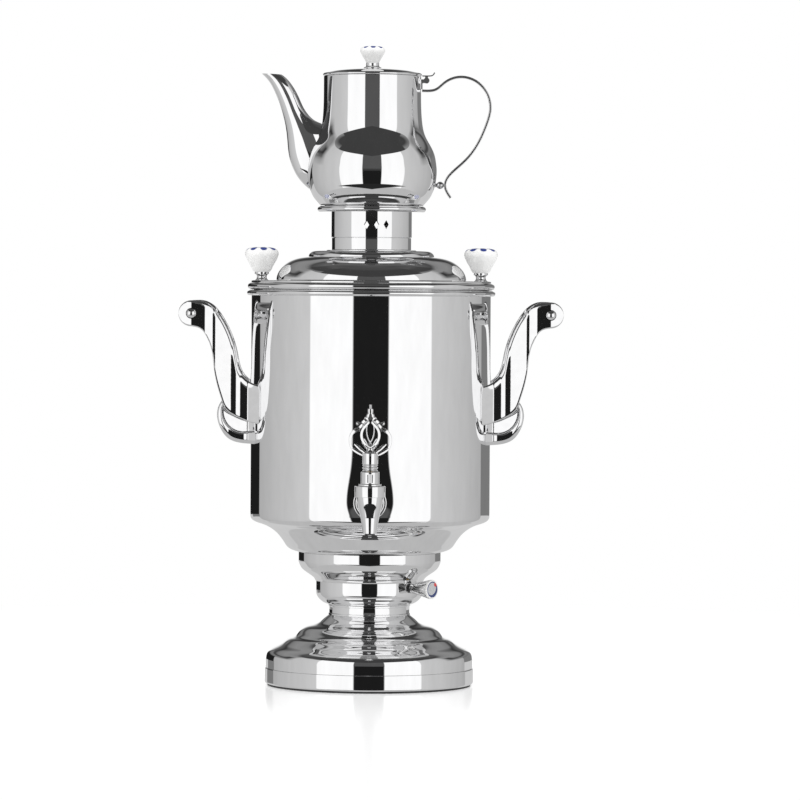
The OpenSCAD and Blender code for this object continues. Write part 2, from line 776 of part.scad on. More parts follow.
// Each row of the spout: outer edge, inner edge, half width, as shares of the pot's size
spout_shares = [
  [-1.703, 1.019, -1.394, 1.011, 0.12], [-1.599, 0.964, -1.313, 0.978, 0.139],
  [-1.507, 0.884, -1.214, 0.914, 0.153], [-1.430, 0.792, -1.130, 0.837, 0.159],
  [-1.373, 0.700, -1.062, 0.762, 0.17], [-1.331, 0.608, -0.983, 0.703, 0.186],
  [-1.304, 0.499, -0.877, 0.656, 0.206], [-1.271, 0.372, -0.744, 0.625, 0.226],
  [-1.159, 0.233, -0.664, 0.573, 0.239], [-0.903, 0.104, -0.611, 0.506, 0.239]];
spout_sides = 20;

function spout_row(s, t) =
  let (p = [s[0] * pot_belly_r, pot_z + s[1] * pot_h], q = [s[2] * pot_belly_r, pot_z + s[3] * pot_h],
    c = (p + q) / 2, h = (p - q) / 2 * (1 - 2 * t / norm(p - q)), w = s[4] * pot_belly_r - t)
  [for (i = [0 : spout_sides - 1]) let (a = 360 * i / spout_sides)
    [c[0] + h[0] * cos(a), w * sin(a), c[1] + h[1] * cos(a)]];

module teapot_spout() {
  rows = spline(spout_shares, 2);
  n = spout_sides;
  m = len(rows);
  loops = concat([for (r = rows) spout_row(r, 0)], [for (r = backwards(rows)) spout_row(r, pot_sheet)]);
  points = [for (l = loops) each l];
  faces = [for (i = [0 : 2 * m - 1]) for (j = [0 : n - 1]) each
    let (a = i * n + j, b = i * n + (j + 1) % n, c = ((i + 1) % (2 * m)) * n + (j + 1) % n,
      d = ((i + 1) % (2 * m)) * n + j) [[a, b, c], [a, c, d]]];
  color("silver") difference() {
    polyhedron(points, faces);
    pot_form(seat);
  }
}

strip_shares = [[0.01, 0.892], [0.13, 0.892], [0.2, 0.9], [0.335, 0.955], [0.6, 1.0],
  [0.805, 0.962], [0.945, 0.878], [1, 0.768], [0.945, 0.634], [0.82, 0.483], [0.648, 0.358],
  [0.46, 0.265], [0.373, 0.207], [0.349, 0.161], [0.38, 0.106], [0.432, 0.064]];
spacer_share = strip_shares[13];
strip_clear = 26.42;
strip_reach = (pot_belly_r - pot_neck_r) / spacer_share[0] + strip_clear;

function strip_line() =
  spline([for (s = strip_shares) [pot_neck_r + s[0] * strip_reach, pot_z + s[1] * pot_h]]);

module teapot_handle() {
  line = strip_line();
  color("silver") translate([0, strip_w / 2, 0]) rotate([90, 0, 0]) linear_extrude(height = strip_w)
    bar(line, strip_t);
}

module handle_spacer() {
  ball_z = pot_z + spacer_share[1] * pot_h;
  strip_in = pot_neck_r + spacer_share[0] * strip_reach - strip_t / 2;
  ball_r = 4.3;
  wall_x = pot_belly_r - ball_r;
  color("silver") difference() {
    union() {
      translate([strip_in - ball_r, 0, ball_z]) sphere(r = ball_r, $fn = 32);
      translate([wall_x, 0, ball_z]) rotate([0, 90, 0])
        cylinder(r = ball_r / 2, h = strip_in - ball_r - wall_x, $fn = 32);
    }
    pot_form(seat);
  }
}

module hinge_bracket() {
  back_t = 1.2;
  back_top = 0.5;
  back_clear = 0.45;
  back_low = pot_z + strip_shares[0][1] * pot_h + strip_t / 2 + back_clear;
  ear_y = knuckle_w / 2 + ear_gap;
  width = 2 * (ear_y + ear_w);
  color("silver") difference() {
    union() {
      translate([pot_neck_r + seat / 2, -width / 2, back_low])
        cube([back_t, width, hinge_z - back_top - back_low]);
      for (s = [0, 1]) mirror([0, s, 0]) {
        translate([hinge_x, ear_y + ear_w, hinge_z]) rotate([90, 0, 0])
          cylinder(r = knuckle_r, h = ear_w, $fn = 32);
        translate([pot_neck_r + seat / 2, ear_y, hinge_z - 2 * hinge_pin_r])
          cube([hinge_out, ear_w, 3 * hinge_pin_r]);
      }
    }
    translate([hinge_x, width, hinge_z]) rotate([90, 0, 0])
      cylinder(r = hinge_pin_r, h = 2 * width, $fn = 32);
    translate([0, 0, pot_rim]) cylinder(r = hinge_x, h = pot_lid_edge);
  }
}

module hinge_pin() {
  proud = 1;
  length = knuckle_w + 2 * (ear_gap + ear_w + proud);
  color("silver") translate([hinge_x, length / 2, hinge_z]) rotate([90, 0, 0])
    cylinder(r = hinge_pin_r, h = length, $fn = 32);
}

module teapot_lid() {
  skirt_r = pot_neck_r - pot_sheet - skirt_gap;
  skirt_deep = 2.6;
  lid_t = 1;
  crest_w = 1.5;
  knuckle_gap = 0.4;
  round_r = pot_lid_edge / 2;
  low = [for (s = [[0.86, 0.55], [0.6, 0.79], [0.3, 0.94]])
    [s[0] * pot_lid_r, pot_lid_z + s[1] * pot_lid_h]];
  top = spline(concat([[pot_lid_r - round_r, pot_lid_z + pot_lid_edge]], low,
    [[pot_ferrule_r + crest_w, pot_lid_z + pot_lid_h]]), 3);
  color("silver") difference() {
    lathe(concat(
      arc([pot_lid_r - round_r, pot_lid_z + round_r], round_r, round_r, -90, 75, 6), top,
      [[knob_screw_r + seat, pot_lid_z + pot_lid_h], [knob_screw_r + seat, pot_lid_z + pot_lid_h - lid_t],
        [pot_ferrule_r, pot_lid_z + pot_lid_h - lid_t]],
      [for (p = backwards(low)) p - [0, lid_t]],
      [[skirt_r - lid_t, pot_lid_z + lid_t], [skirt_r - lid_t, pot_rim - skirt_deep],
        [skirt_r, pot_rim - skirt_deep], [skirt_r, pot_lid_z]]));
    translate([hinge_x, knuckle_w, hinge_z]) rotate([90, 0, 0])
      cylinder(r = knuckle_r + knuckle_gap, h = 2 * knuckle_w);
  }
}

module lid_lever() {
  strap_t = 1.4;
  root = pot_lid_r + seat - hinge_x;
  rise = pot_lid_z + strap_t / 2 - hinge_z;
  tail_shares = [[1, 1], [0.4, 1], [-1.1, 1.04], [-1.65, 1.3], [-1.95, 1.75]];
  line = spline([for (p = tail_shares) [hinge_x + p[0] * root, hinge_z + p[1] * rise]]);
  color("silver") difference() {
    translate([0, knuckle_w / 2, 0]) rotate([90, 0, 0]) linear_extrude(height = knuckle_w) union() {
      bar(line, strap_t);
      translate([hinge_x, hinge_z]) circle(r = knuckle_r, $fn = 32);
      translate([hinge_x - knuckle_r / 2, hinge_z]) square([knuckle_r, rise]);
    }
    translate([hinge_x, knuckle_w, hinge_z]) rotate([90, 0, 0])
      cylinder(r = hinge_pin_r + pin_gap, h = 2 * knuckle_w, $fn = 32);
  }
}

module teapot_ferrule() {
  flare = 2.6;
  foot = 2.2;
  color("silver") translate([0, 0, pot_knob_z]) difference() {
    lathe([[0, 0], [pot_ferrule_r + flare, 0], [pot_ferrule_r + flare, over], [pot_ferrule_r, foot],
      [pot_ferrule_r, pot_ferrule_h], [0, pot_ferrule_h]]);
    translate([0, 0, -over]) cylinder(r = knob_screw_r + seat, h = pot_ferrule_h + 2 * over);
  }
}

module teapot_knob() {
  translate([0, 0, pot_knob_z + pot_ferrule_h]) porcelain(pot_knob_r, pot_knob_h, knob_screw_r + seat);
}

module teapot_knob_screw() {
  head_r = 3.4;
  head_h = 2;
  color("gray") translate([0, 0, pot_knob_z - over]) {
    translate([0, 0, -head_h]) cylinder(r = head_r, h = head_h);
    cylinder(r = knob_screw_r, h = over + pot_ferrule_h + pot_knob_h / 2);
  }
}

// Side handles: outlines as shares from the wall to the grip and from the scroll to the grip
bracket_low = 150;
arm_shares = [[-0.3, 0.44], [-0.015, 0.475], [0.138, 0.537], [0.241, 0.689], [0.36, 0.857],
  [0.497, 0.972], [0.65, 1.056], [0.82, 1.096], [1, 1.099]];
arm_under_shares = [[1, 0.901], [0.838, 0.88], [0.735, 0.819], [0.65, 0.719], [0.616, 0.605],
  [0.557, 0.459], [0.463, 0.322], [0.429, 0.284], [0.207, 0.207], [-0.03, 0.166], [-0.3, 0.15]];
scroll_shares = [[0.43, 0.36], [0.53, 0.29], [0.557, 0.23], [0.501, 0.123], [0.354, 0.039], [0.156, 0.008],
  [-0.033, 0.001], [-0.3, 0]];
scroll_in_shares = [[-0.3, 0.1], [-0.033, 0.1], [0.173, 0.1], [0.335, 0.138], [0.429, 0.207],
  [0.44, 0.27], [0.39, 0.33]];
web_shares = [[-0.3, 0.05], [-0.033, 0.05], [0.16, 0.055], [0.33, 0.085], [0.45, 0.15],
  [0.49, 0.22], [0.46, 0.28], [0.36, 0.34], [-0.3, 0.26]];

function side_points(shares) = [for (s = shares)
  [body_r + s[0] * (grip_x - body_r), grip_z - bracket_low + s[1] * bracket_low]];

module upright(depth) {
  translate([0, bracket_y + 2 * over, 0]) rotate([90, 0, 0]) linear_extrude(height = depth) children();
}

// The rear bracket on the right-hand side
module bracket() {
  run_in = 9;
  bow = 2.4;
  web_t = 4;
  web_in = 6;
  scroll_t = 12;
  scroll_in = 2;
  plan = spline([[grip_x + end_r + over, bracket_y], [grip_x - dome_nut_r - over, bracket_y],
    [grip_x - end_r, bracket_y],
    [(grip_x + body_r) / 2, bracket_y - bow], [body_r - end_r, bracket_y - run_in]]);
  color("silver") difference() {
    union() {
      intersection() {
        upright(2 * bracket_t + run_in) union() {
          polygon(concat(spline(side_points(arm_shares)), spline(side_points(arm_under_shares))));
          translate([grip_x, grip_z]) circle(r = end_r);
        }
        linear_extrude(height = 2 * grip_z) polygon(ribbon(plan, bracket_t));
      }
      translate([0, bracket_y - web_in, 0]) rotate([90, 0, 0]) linear_extrude(height = web_t)
        polygon(side_points(web_shares));
      translate([0, bracket_y - scroll_in, 0]) rotate([90, 0, 0]) linear_extrude(height = scroll_t)
        polygon(concat(spline(side_points(scroll_shares)), spline(side_points(scroll_in_shares))));
    }
    cylinder(r = body_r + seat, h = 2 * grip_z, $fn = fine);
    translate([grip_x, bracket_y + over, grip_z]) rotate([90, 0, 0])
      cylinder(r = bolt_r + seat, h = bracket_t + 2 * over, $fn = 32);
    bracket_places() cylinder(r = bracket_screw_r + seat / 2, h = body_r + bracket_t + seat, $fn = 24);
  }
}

bolt_r = 3;
dome_nut_r = 5.3;
dome_nut_h = 3.6;

module right_rear_bracket() { bracket(); }
module right_front_bracket() { mirror([0, 1, 0]) bracket(); }
module left_rear_bracket() { mirror([1, 0, 0]) bracket(); }
module left_front_bracket() { mirror([1, 0, 0]) mirror([0, 1, 0]) bracket(); }

module grip() {
  half = bracket_y - bracket_t - seat;
  color("silver") translate([grip_x, half, grip_z]) rotate([90, 0, 0]) difference() {
    cylinder(r = grip_r, h = 2 * half);
    translate([0, 0, -over]) cylinder(r = bolt_r + seat, h = 2 * half + 2 * over, $fn = 32);
  }
}

module right_grip() { grip(); }
module left_grip() { mirror([1, 0, 0]) grip(); }

module grip_bolts() {
  color("silver") for (s = [0, 1]) mirror([s, 0, 0]) translate([grip_x, 0, grip_z]) {
    translate([0, bracket_y, 0]) rotate([90, 0, 0]) cylinder(r = bolt_r, h = 2 * bracket_y, $fn = 32);
    for (e = [0, 1]) mirror([0, e, 0]) translate([0, bracket_y + seat / 2, 0]) rotate([-90, 0, 0])
      lathe(concat([[0, -over], [bolt_r, -over], [bolt_r, 0]],
        arc([0, 0], dome_nut_r, dome_nut_h, 0, 90, 6)));
  }
}

module bracket_screws() {
  head_r = 4;
  head_h = 2;
  color("gray") bracket_places() {
    translate([0, 0, inner_r - head_h]) cylinder(r = head_r, h = head_h - seat, $fn = 24);
    translate([0, 0, inner_r - head_h])
      cylinder(r = bracket_screw_r, h = head_h + sheet + bracket_t - over, $fn = 24);
  }
}

// Tap, drawn round its own upright axis
nozzle_low = 29.5;
cavity_low = 11.5;
cavity_top = 23.1;
band_low = 10.7;
housing_r = 17;
stem_r = 4;
plug_top = cavity_top - 3;
port_step = 0.4;
bonnet_h = 15.8;
bonnet_r = 10.3;
key_t = 5.5;
key_bar = 3.4;

module at_tap() {
  translate([0, -tap_y, tap_z]) children();
}

module tap_rosette() {
  rosette_r = 18.8;
  rosette_t = 5;
  step_t = 2;
  step_in = 3;
  back = 4;
  color("silver") difference() {
    translate([0, -body_r + back, tap_z]) rotate([90, 0, 0]) {
      cylinder(r = rosette_r, h = back + rosette_t - step_t);
      cylinder(r = rosette_r - step_in, h = back + rosette_t);
    }
    cylinder(r = body_r + seat, h = 2 * tap_z, $fn = fine);
    translate([0, -body_r + 2 * housing_r, tap_z]) rotate([90, 0, 0])
      cylinder(r = pipe_r + seat / 2, h = 4 * housing_r);
  }
}

module tap_body() {
  nut_proud = 2;
  pipe_in = inner_r - nut_h - tap_seal_t - pipe_bow - nut_proud;
  form_shares = [[0.465, 0], [0.576, 0.236], [0.724, 0.525], [0.818, 0.759], [0.87, 1]];
  form = spline(between(form_shares, 0, housing_r, -nozzle_low, band_low));
  color("silver") difference() {
    union() {
      at_tap() lathe(concat([[0, -nozzle_low]], form,
        [[housing_r, band_low], [housing_r, cavity_top], [0, cavity_top]]));
      translate([0, -pipe_in, tap_z]) rotate([90, 0, 0]) cylinder(r = pipe_r, h = tap_y - pipe_in);
    }
    at_tap() {
      translate([0, 0, -cavity_low]) cylinder(r = plug_r, h = cavity_low + cavity_top + over);
      translate([0, 0, -nozzle_low - over]) cylinder(r = port_r, h = nozzle_low + over);
    }
    translate([0, -pipe_in + over, tap_z]) rotate([90, 0, 0]) cylinder(r = port_r, h = tap_y - pipe_in);
  }
}

module tap_seals() {
  seal_r = 1.4 * pipe_r;
  color("black") difference() {
    intersection() {
      translate([0, -inner_r + tap_seal_t + pipe_bow - seat / 2, tap_z]) rotate([90, 0, 0])
        cylinder(r = seal_r, h = 2 * tap_seal_t);
      cylinder(r = inner_r - seat / 2, h = 2 * tap_z, $fn = fine);
    }
    translate([0, -inner_r + 2 * housing_r, tap_z]) rotate([90, 0, 0])
      cylinder(r = pipe_r + seat / 2, h = 4 * housing_r);
  }
}

module tap_plug() {
  stem_h = 28;
  color("goldenrod") at_tap() difference() {
    union() {
      translate([0, 0, -cavity_low + lift_gap])
        cylinder(r = plug_r - plug_gap, h = plug_top + cavity_low - lift_gap);
      translate([0, 0, plug_top - over]) cylinder(r = stem_r, h = stem_h + over);
    }
    translate([0, 0, -cavity_low - over]) cylinder(r = port_r - port_step, h = cavity_low + over + port_r / 2);
    rotate([0, 90, 0]) cylinder(r = port_r - port_step, h = 2 * plug_r);
  }
}

module tap_bonnet() {
  rim = 2.2;
  color("silver") at_tap() difference() {
    lathe([
      [0, plug_top + lift_gap], [plug_r - seat, plug_top + lift_gap], [plug_r - seat, cavity_top],
      [bonnet_r + rim, cavity_top], [bonnet_r + rim, cavity_top + rim], [bonnet_r, cavity_top + rim],
      [bonnet_r, cavity_top + bonnet_h - over], [bonnet_r - over, cavity_top + bonnet_h],
      [0, cavity_top + bonnet_h]]);
    translate([0, 0, plug_top - over]) cylinder(r = stem_r + plug_gap, h = 2 * bonnet_h);
  }
}

key_z = cavity_top + bonnet_h + lift_gap;
key_h = 69.5;
loop_shares = [[0.24, 0.22], [0.62, 0.31], [0.92, 0.4], [0.94, 0.52], [0.83, 0.62],
  [0.58, 0.71], [0.3, 0.765], [0, 0.82]];
drop_shares = [[0, 0.79], [0.2, 0.73], [0.37, 0.63], [0.38, 0.5], [0.2, 0.38], [0.15, 0.26]];
link_shares = [[0.85, 0.6], [0.36, 0.655]];
crown_shares = [[0, 0.7], [0.4, 0.72], [0.24, 0.875], [0.13, 0.86], [0.105, 1], [0, 1]];

function key_points(shares) = [for (s = shares) [s[0] * key_half_w, key_z + s[1] * key_h]];

module tap_key() {
  neck = 8.7;
  groove = 1.2;
  rings_h = 8;
  collar_h2 = 12.4;
  stem_hole = 11;
  color("silver") at_tap() difference() {
    union() {
      lathe([
        [0, key_z], [neck - groove, key_z], [neck - groove, key_z + rings_h / 4],
        [neck, key_z + rings_h / 3], [neck, key_z + 2 * rings_h / 3],
        [neck - groove, key_z + 3 * rings_h / 4], [neck - groove, key_z + rings_h],
        [neck, key_z + rings_h], [neck, key_z + rings_h + collar_h2 - over],
        [neck - over, key_z + rings_h + collar_h2], [0, key_z + rings_h + collar_h2]]);
      translate([0, key_t / 2, 0]) rotate([90, 0, 0]) linear_extrude(height = key_t)
        for (s = [0, 1]) mirror([s, 0]) {
          bar(spline(key_points(loop_shares)), key_bar);
          bar(spline(key_points(drop_shares)), key_bar);
          bar(key_points(link_shares), key_bar);
          polygon(key_points(crown_shares));
          translate(key_points([[0.56, 0.76]])[0]) circle(r = key_bar * 0.7, $fn = 32);
        }
    }
    translate([0, 0, key_z - over]) cylinder(r = stem_r + seat / 2, h = stem_hole);
  }
}

foot_ring();
base_band();
base_plate();
base_plate_screws();
base_bell();
pedestal_neck();
pedestal_bowl();
support_collar();
tie_tube();
lock_nuts();
cord_gland();
kettle_bottom();
kettle_wall();
heater_element();
heater_flange();
heater_nuts();
thermal_cutout();
thermostat_body();
thermostat_gland();
thermostat_shaft();
thermostat_knob();
dial_cap();
sensor_bulb();
terminal_block();
internal_wires();
boiler_lid();
lid_collar();
left_lid_knob();
right_lid_knob();
left_lid_ferrule();
right_lid_ferrule();
lid_knob_screws();
crown_sleeve();
crown_flange();
teapot_body();
teapot_base();
teapot_spout();
teapot_handle();
handle_spacer();
hinge_bracket();
hinge_pin();
teapot_lid();
lid_lever();
teapot_knob();
teapot_ferrule();
teapot_knob_screw();
left_front_bracket();
left_rear_bracket();
right_front_bracket();
right_rear_bracket();
left_grip();
right_grip();
grip_bolts();
bracket_screws();
tap_rosette();
tap_body();
tap_seals();
tap_plug();
tap_bonnet();
tap_key();
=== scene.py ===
# Samovar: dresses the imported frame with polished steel, porcelain and small fittings.
# Every curved form is worked out as numpy arrays in millimetres and written to a mesh in metres.
import json
import math
import bmesh
import bpy
import numpy as np
from mathutils import Matrix


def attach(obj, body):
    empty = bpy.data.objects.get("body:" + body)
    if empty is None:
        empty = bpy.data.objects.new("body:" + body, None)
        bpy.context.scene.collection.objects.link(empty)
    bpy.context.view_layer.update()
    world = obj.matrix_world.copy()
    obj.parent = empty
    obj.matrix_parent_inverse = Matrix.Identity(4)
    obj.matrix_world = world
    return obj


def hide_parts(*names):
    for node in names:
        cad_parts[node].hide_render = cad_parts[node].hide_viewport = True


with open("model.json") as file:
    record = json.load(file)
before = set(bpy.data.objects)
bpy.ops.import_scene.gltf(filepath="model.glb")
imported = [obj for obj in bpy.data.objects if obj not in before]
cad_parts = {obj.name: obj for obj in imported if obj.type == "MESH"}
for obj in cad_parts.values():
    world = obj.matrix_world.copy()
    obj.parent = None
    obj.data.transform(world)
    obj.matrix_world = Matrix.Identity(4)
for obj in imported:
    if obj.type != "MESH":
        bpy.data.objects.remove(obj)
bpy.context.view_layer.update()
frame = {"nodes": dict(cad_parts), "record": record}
nodes = frame["nodes"]
print("frame loaded:", len(nodes), "nodes")

# Camera first: level, with a long lens, and shifted to the photograph's framing
cameraView = {"distance": 5.211, "height": 0.4626, "lens": 202.5, "shiftX": 0.0359, "shiftY": -0.1437,
    "roll": -0.35}


def setCamera(view):
    data = bpy.data.cameras.new("photoCamera")
    data.lens = view["lens"]
    data.sensor_width = 36.0
    data.shift_x = view["shiftX"]
    data.shift_y = view["shiftY"]
    data.clip_end = 60.0
    camera = bpy.data.objects.new("photoCamera", data)
    camera.location = (0.0, -view["distance"], view["height"])
    camera.rotation_euler = (math.pi / 2, math.radians(view["roll"]), 0.0)
    bpy.context.collection.objects.link(camera)
    bpy.context.scene.camera = camera


setCamera(cameraView)

# Curves and surfaces


# Natural cubic through points by chord length: second derivatives from one linear solve, then
# each span is (b-t)^3/6h and (t-a)^3/6h terms plus the straight part. Returns count points.
def smoothCurve(points, count):
    p = np.asarray(points, float)
    s = np.concatenate([[0], np.cumsum(np.linalg.norm(np.diff(p, axis=0), axis=1))])
    n, h = len(p), np.diff(s)
    a = np.eye(n)
    rhs = np.zeros_like(p)
    i = np.arange(1, n - 1)
    a[i, i - 1], a[i, i], a[i, i + 1] = h[:-1] / 6, (h[:-1] + h[1:]) / 3, h[1:] / 6
    rhs[1:-1] = (p[2:] - p[1:-1]) / h[1:, None] - (p[1:-1] - p[:-2]) / h[:-1, None]
    m = np.linalg.solve(a, rhs)
    t = np.linspace(0, s[-1], count)
    k = np.clip(np.searchsorted(s, t) - 1, 0, n - 2)
    u, v, hk = (s[k + 1] - t)[:, None], (t - s[k])[:, None], h[k][:, None]
    return (m[k] * u ** 3 + m[k + 1] * v ** 3) / (6 * hk) + (p[k] / hk - m[k] * hk / 6) * u \
        + (p[k + 1] / hk - m[k + 1] * hk / 6) * v


# Straight runs between points, each with the given number of steps
def straightCurve(points, steps=1):
    p = np.asarray(points, float)
    t = np.arange(steps)[:, None] / steps
    return np.vstack([p[i] + (p[i + 1] - p[i]) * t for i in range(len(p) - 1)] + [p[-1:]])


# An arc: centre plus (rx cos a, ry sin a)
def arcCurve(centre, rx, ry, a0, a1, count=12):
    a = np.radians(np.linspace(a0, a1, count))
    return np.column_stack([centre[0] + rx * np.cos(a), centre[1] + ry * np.sin(a)])


def corner(x, y, radius, a0, a1, count=12):
    return arcCurve((x, y), radius, radius, a0, a1, count)


# The curve moved to its left by d, along normals from central differences
def besideCurve(points, d):
    p = np.asarray(points, float)
    g = np.gradient(p, axis=0)
    g /= np.linalg.norm(g, axis=1)[:, None]
    return p + d * np.column_stack([-g[:, 1], g[:, 0]])


# Shares of two radii and two heights made into points
def between(shares, r0, r1, z0, z1):
    s = np.asarray(shares, float)
    return np.column_stack([r0 + s[:, 0] * (r1 - r0), z0 + s[:, 1] * (z1 - z0)])


# Writes a grid of points (rows, columns, 3) in millimetres to a mesh; rows or columns may wrap.
# Points that coincide, such as poles and seams, are merged, and normals are turned outwards.
def meshFromGrid(grid, wrapRows=True, wrapColumns=True, sharp=30.0):
    rows, cols = grid.shape[:2]
    i = np.arange(rows if wrapRows else rows - 1)
    j = np.arange(cols if wrapColumns else cols - 1)
    i0, j0 = (x.ravel() for x in np.meshgrid(i, j, indexing="ij"))
    i1, j1 = (i0 + 1) % rows, (j0 + 1) % cols
    quads = np.column_stack([i0 * cols + j0, i0 * cols + j1, i1 * cols + j1, i1 * cols + j0])
    mesh = bpy.data.meshes.new("piece")
    mesh.from_pydata((grid.reshape(-1, 3) / 1000).tolist(), [], quads.tolist())
    return finishMesh(mesh, sharp)


def finishMesh(mesh, sharp=30.0):
    bm = bmesh.new()
    bm.from_mesh(mesh)
    bmesh.ops.remove_doubles(bm, verts=bm.verts, dist=2e-7)
    bmesh.ops.dissolve_degenerate(bm, edges=bm.edges, dist=1e-7)
    bmesh.ops.recalc_face_normals(bm, faces=bm.faces)
    bm.to_mesh(mesh)
    bm.free()
    mesh.shade_smooth()
    mesh.set_sharp_from_angle(angle=math.radians(sharp))
    mesh.update()
    return mesh


def vertexPlaces(mesh):
    co = np.empty(len(mesh.vertices) * 3)
    mesh.vertices.foreach_get("co", co)
    return co.reshape(-1, 3) * 1000


# A closed outline (radius, height) turned once round an upright axis through (x, y)
def latheGrid(outline, x=0.0, y=0.0, segments=192):
    a = np.linspace(0, 2 * np.pi, segments, endpoint=False)
    r, z = outline[:, 0], outline[:, 1]
    return np.stack([x + r[:, None] * np.cos(a), y + r[:, None] * np.sin(a),
            np.repeat(z[:, None], segments, axis=1)], axis=2)


# A section (closed loop of a, b shares) carried along a path: point + a * width * side + b * depth * up,
# where side is the fixed axis squared to the path and up completes the frame. Ends may be drawn to a point.
def carryGrid(path, section, width, depth, axis=(0, 1, 0), capped=True):
    p = np.asarray(path, float)
    n = len(p)
    t = np.gradient(p, axis=0)
    t /= np.linalg.norm(t, axis=1)[:, None]
    side = np.asarray(axis, float) - t * (t @ np.asarray(axis, float))[:, None]
    side /= np.linalg.norm(side, axis=1)[:, None]
    up = np.cross(t, side)
    w = np.broadcast_to(np.asarray(width, float), (n,))[:, None, None]
    d = np.broadcast_to(np.asarray(depth, float), (n,))[:, None, None]
    ring = p[:, None] + w * section[None, :, :1] * side[:, None] + d * section[None, :, 1:] * up[:, None]
    if capped:
        ring = np.concatenate([np.repeat(p[:1, None], len(section), 1), ring,
                np.repeat(p[-1:, None], len(section), 1)])
    return ring


def roundSection(sides=24):
    a = np.linspace(0, 2 * np.pi, sides, endpoint=False)
    return np.column_stack([np.cos(a), np.sin(a)])


# A superellipse: flat sides with rounded corners
def softSection(power=5.0, sides=40):
    a = np.linspace(0, 2 * np.pi, sides, endpoint=False) + 0.5 * np.pi / sides
    c, s = np.cos(a), np.sin(a)
    return np.column_stack([np.sign(c) * abs(c) ** (2 / power), np.sign(s) * abs(s) ** (2 / power)])


def joinMeshes(meshes, sharp=30.0):
    bm = bmesh.new()
    for mesh in meshes:
        bm.from_mesh(mesh)
    joined = bpy.data.meshes.new("joined")
    bm.to_mesh(joined)
    bm.free()
    joined.shade_smooth()
    joined.set_sharp_from_angle(angle=math.radians(sharp))
    return joined


# Cuts tool meshes out of a mesh with an exact Boolean and keeps the result as a plain mesh
def cutMesh(mesh, tools, sharp=30.0):
    base = bpy.data.objects.new("cutBase", mesh)
    bpy.context.collection.objects.link(base)
    tool = bpy.data.objects.new("cutTool", joinMeshes(tools))
    bpy.context.collection.objects.link(tool)
    step = base.modifiers.new("cut", "BOOLEAN")
    step.object, step.operation, step.solver = tool, "DIFFERENCE", "EXACT"
    result = bpy.data.meshes.new_from_object(base.evaluated_get(bpy.context.evaluated_depsgraph_get()))
    for thing in (base, tool):
        bpy.data.objects.remove(thing)
    result.shade_smooth()
    result.set_sharp_from_angle(angle=math.radians(sharp))
    return result


dressed = set()


# Links a mesh as a piece that rides on a body and stands for a CAD node
def addPiece(name, mesh, node, body="samovar", material=None):
    mesh.name = name
    piece = bpy.data.objects.new(name, mesh)
    bpy.context.collection.objects.link(piece)
    mesh.materials.append(material or mirror)
    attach(piece, body)
    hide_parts(node)
    dressed.add(node)


# The dimensions of the model, in millimetres
levels = {"band": 20.5, "neck": 81.5, "bowl": 93.5, "collar": 120.5, "ogee": 154.0, "wall": 200.0,
    "rim": 450.0, "rimTop": 456.6, "ledge": 467.5, "step": 495.2, "lidTop": 501.8, "tubeTop": 517.1,
    "crown": 517.4, "flange": 546.9, "potBase": 548.4, "pot": 554.4, "potRim": 703.9, "potLid": 704.2,
    "potKnob": 713.7, "tap": 217.0, "dial": 114.5, "grip": 429.0}
radii = {"base": 120.5, "neck": 47.3, "bowl": 61.9, "collar": 82.5, "body": 139.0, "lid": 143.5,
    "dome": 110.4, "step": 73.0, "tube": 46.1, "flange": 63.0, "potNeck": 56.6, "belly": 75.3, "dial": 11.0}
sheet, seat = 1.2, 0.1
potHeight = levels["potRim"] - levels["pot"]

# The light: a white room for the camera, and a studio of panels for the steel to mirror
# Grey levels by azimuth from the camera's side, in degrees, with sharp edges between panels
studioPanels = [(0, 0.012), (16.6, 0.012), (17.4, 1.06), (59.5, 1.06), (60.5, 0.62), (100, 0.53),
    (132.5, 0.43), (133.5, 0.012), (166, 0.012), (168, 1.0), (180, 1.0)]
studioLevels = {"shade": 0.05, "floor": 0.5, "edge": 0.02, "upperCentre": 0.09, "backLow": 0.6,
    "rightBack": 0.2, "leftLow": 0.2}
# Brightness high up, by elevation in degrees: a few soft dark and light strips
studioHigh = [(8, 0.16), (16, 0.12), (22, 0.035), (30, 0.04), (35, 0.26), (42, 0.24), (47, 0.05), (58, 0.06),
    (64, 0.09), (70, 0.08), (76, 0.07), (90, 0.09)]
# The least brightness high up beside the back, which the stepped base mirrors
studioBeside = [(8, 0.1), (12, 0.17), (17, 0.2), (19, 0.06), (21.5, 0.06), (25, 0.2), (33, 0.26), (44, 0.22),
    (48, 0.07), (58, 0.12), (90, 0.1)]


# Where the studio's panels start and end, in degrees: from nothing of a panel to all of it
studioEdges = {"centre": (16.6, 17.4), "centreFoot": (0.8, 2.4), "behind": (96, 108), "stripsFoot": (8, 15),
    "low": (-4.4, -4), "lineFoot": (-8.4, -8), "lineEnd": (153.5, 155), "back": (132, 134),
    "front": (75, 78), "top": (62, 74), "floor": (-31.5, -29.5), "besideStart": (108, 124),
    "besideEnd": (162, 170), "besideFoot": (8, 12)}
# The front wall's top rises with the azimuth. Low in the front, a dark band narrows to nothing at its end
studioSlopes = {"top": 24.0, "rise": 14 / 76, "blur": 0.4, "bandTop": 24.4, "bandEnd": 72.0,
    "bandWidth": 15.0}


